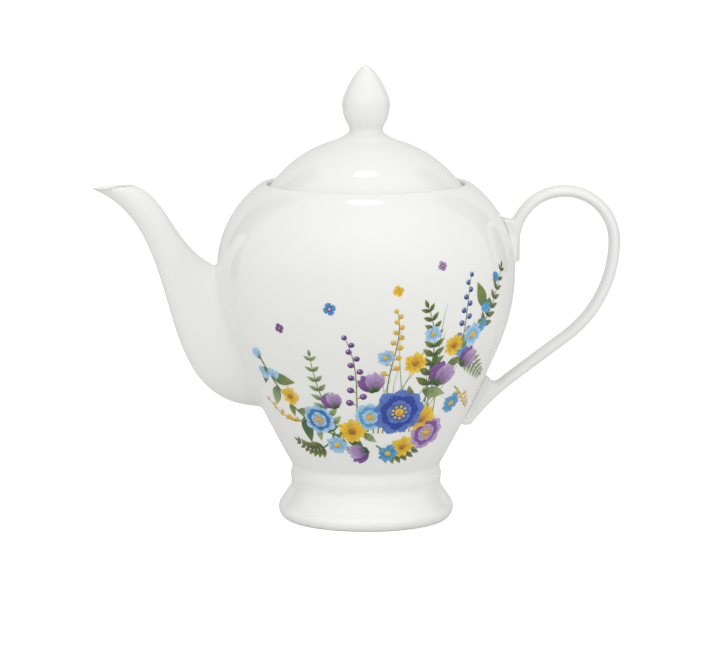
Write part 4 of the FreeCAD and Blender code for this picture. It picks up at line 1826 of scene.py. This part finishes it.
@dataclass
class Studio:
    """Plain pale floor, soft light and the camera."""

    aim: Vector = field(default_factory=lambda: Vector((-0.0054, 0.0, 0.0885)))
    distance: float = 1.8
    elevation: float = math.radians(8.0)
    view_width: float = 0.3186
    sensor_width: float = 36.0
    room_light: float = 0.70
    floor_size: float = 12.0
    floor_tone: float = 0.62
    floor_light: float = 0.16
    floor_glow: float = 0.54
    card_tone: float = 0.10
    card_size: Point = (0.84, 0.34)
    card_depth: float = 0.34
    card_level: float = 0.47
    card_run: float = 0.5

    def camera(self) -> None:
        """Put up the camera at the photograph's angle."""
        data = bpy.data.cameras.new("camera")
        data.sensor_width = self.sensor_width
        data.lens = self.sensor_width * self.distance / self.view_width
        camera = bpy.data.objects.new("camera", data)
        bpy.context.scene.collection.objects.link(camera)
        back = Vector((0.0, -math.cos(self.elevation), math.sin(self.elevation)))
        camera.location = self.aim + back * self.distance
        camera.rotation_euler = (-back).to_track_quat("-Z", "Y").to_euler()
        bpy.context.scene.camera = camera

    def matt(self, name: str, tone: float) -> bpy.types.Material:
        """Make a plain matt grey.

        Args:
            name: Name of the material.
            tone: How light it is, from 0 to 1.

        Returns:
            The material.
        """
        material = bpy.data.materials.new(name)
        material.use_nodes = True
        shader = material.node_tree.nodes["Principled BSDF"]
        shader.inputs["Base Color"].default_value = (tone, tone, tone, 1.0)
        shader.inputs["Roughness"].default_value = 0.9
        return material

    def floor(self) -> None:
        """Lay a wide pale floor that keeps the pot's shadow and looks white to the camera."""
        bpy.ops.object.select_all(action="DESELECT")
        bpy.ops.mesh.primitive_plane_add(size=self.floor_size)
        floor = bpy.context.object
        floor.name = "floor"
        material = self.matt("pale_floor", self.floor_tone)
        tree = material.node_tree
        bench = NodeBench(tree)
        shader = tree.nodes["Principled BSDF"]
        shader.inputs["Emission Color"].default_value = (1.0, 1.0, 1.0, 1.0)
        shader.inputs["Emission Strength"].default_value = self.floor_light
        shader.inputs["Specular IOR Level"].default_value = 0.1
        glow = bench.add("Emission", Color=(1.0, 1.0, 1.0, 1.0), Strength=self.floor_glow)
        lit = bench.add("AddShader")
        seen = bench.add("MixShader")
        path = bench.add("LightPath")
        bench.link(shader.outputs["BSDF"], lit.inputs[0])
        bench.link(glow.outputs["Emission"], lit.inputs[1])
        bench.link(path.outputs["Is Camera Ray"], seen.inputs["Fac"])
        bench.link(shader.outputs["BSDF"], seen.inputs[1])
        bench.link(lit.outputs["Shader"], seen.inputs[2])
        bench.link(seen.outputs["Shader"], tree.nodes["Material Output"].inputs["Surface"])
        floor.data.materials.append(material)

    def lamps(self) -> tuple[Lamp, ...]:
        """List the lamps: a window overhead, three panels and a narrow beam on the foot.

        Returns:
            The lamps.
        """
        return (
            Lamp("top_window", (self.aim.x, -0.03, 1.20), (0.34, 0.11), 1.1, mirrored=True),
            Lamp("front_panel", (0.0, -1.05, 1.10), (1.0, 0.8), 3.9),
            Lamp("left_panel", (-1.0, -0.6, 0.50), (0.8, 0.9), 2.2),
            Lamp("right_panel", (1.0, -0.6, 0.50), (0.8, 0.9), 2.8),
            Lamp(
                "foot_lamp",
                (-0.06, -0.80, 0.42),
                (0.36, 0.03),
                0.0105,
                target=(-0.008, -0.04, -0.012),
                beam=math.radians(4.0),
            ),
        )

    def hang(self, lamp: Lamp) -> None:
        """Hang a lamp, out of the camera's sight.

        Args:
            lamp: The lamp.
        """
        data = bpy.data.lights.new(lamp.name, "AREA")
        data.shape = "ELLIPSE"
        data.size, data.size_y = lamp.size
        data.energy = lamp.power
        data.spread = lamp.beam
        holder = bpy.data.objects.new(lamp.name, data)
        bpy.context.scene.collection.objects.link(holder)
        place = Vector(lamp.place)
        target = Vector(lamp.target) if lamp.target else self.aim
        holder.location = place
        holder.visible_camera = False
        holder.visible_glossy = lamp.mirrored
        holder.rotation_euler = (target - place).to_track_quat("-Z", "Y").to_euler()

    def card(self, name: str, run: float) -> None:
        """Stand a dark card beside the pot, out of the camera's sight, to shade its edges.

        Args:
            name: Name of the card.
            run: Where it stands, to the left or right.
        """
        place = (run, self.card_depth, self.card_level)
        bpy.ops.object.select_all(action="DESELECT")
        bpy.ops.mesh.primitive_plane_add(size=1.0, location=place, rotation=(0.0, math.pi / 2, 0.0))
        card = bpy.context.object
        card.scale = (*self.card_size, 1.0)
        card.name = name
        card.data.materials.append(self.matt(name, self.card_tone))
        card.visible_camera = False

    def world(self) -> None:
        """Fill the room with even light and keep the background white."""
        world = bpy.data.worlds.new("room")
        world.use_nodes = True
        bpy.context.scene.world = world
        bench = NodeBench(world.node_tree)
        sky = world.node_tree.nodes["Background"]
        path = bench.add("LightPath")
        strength = bench.add("MapRange", To_Min=self.room_light, To_Max=1.0)
        bench.link(path.outputs["Is Camera Ray"], strength.inputs["Value"])
        bench.link(strength.outputs["Result"], sky.inputs["Strength"])
        sky.inputs["Color"].default_value = (1.0, 1.0, 1.0, 1.0)

    def build(self) -> None:
        """Set up the whole studio."""
        bpy.context.scene.view_settings.view_transform = "Standard"
        self.camera()
        self.floor()
        self.world()
        for lamp in self.lamps():
            self.hang(lamp)
        self.card("left_card", -self.card_run)
        self.card("right_card", self.card_run)


def main() -> None:
    """Build every piece and the studio in order."""
    logging.basicConfig(level=logging.INFO, format="%(name)s: %(message)s")
    low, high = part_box("pot_body")
    shape = PotShape(belly_radius=high.x, waist_level=low.z, rim_level=high.z)
    materials = Materials()
    pot = Pot(shape, materials)
    pot.build()
    Foot(shape, materials, radius=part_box("foot")[1].x).build()
    Spout(shape, materials, reach=-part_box("spout")[0].x).build()
    Handle(shape, materials).build()
    lid = Lid(shape, pot, materials)
    lid.build()
    Knob(lid, materials, top=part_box("lid_knob")[1].z).build()
    Garland(Brush(Canvas(shape)), materials).build()
    Studio().build()


if __name__ == "__main__":
    main()
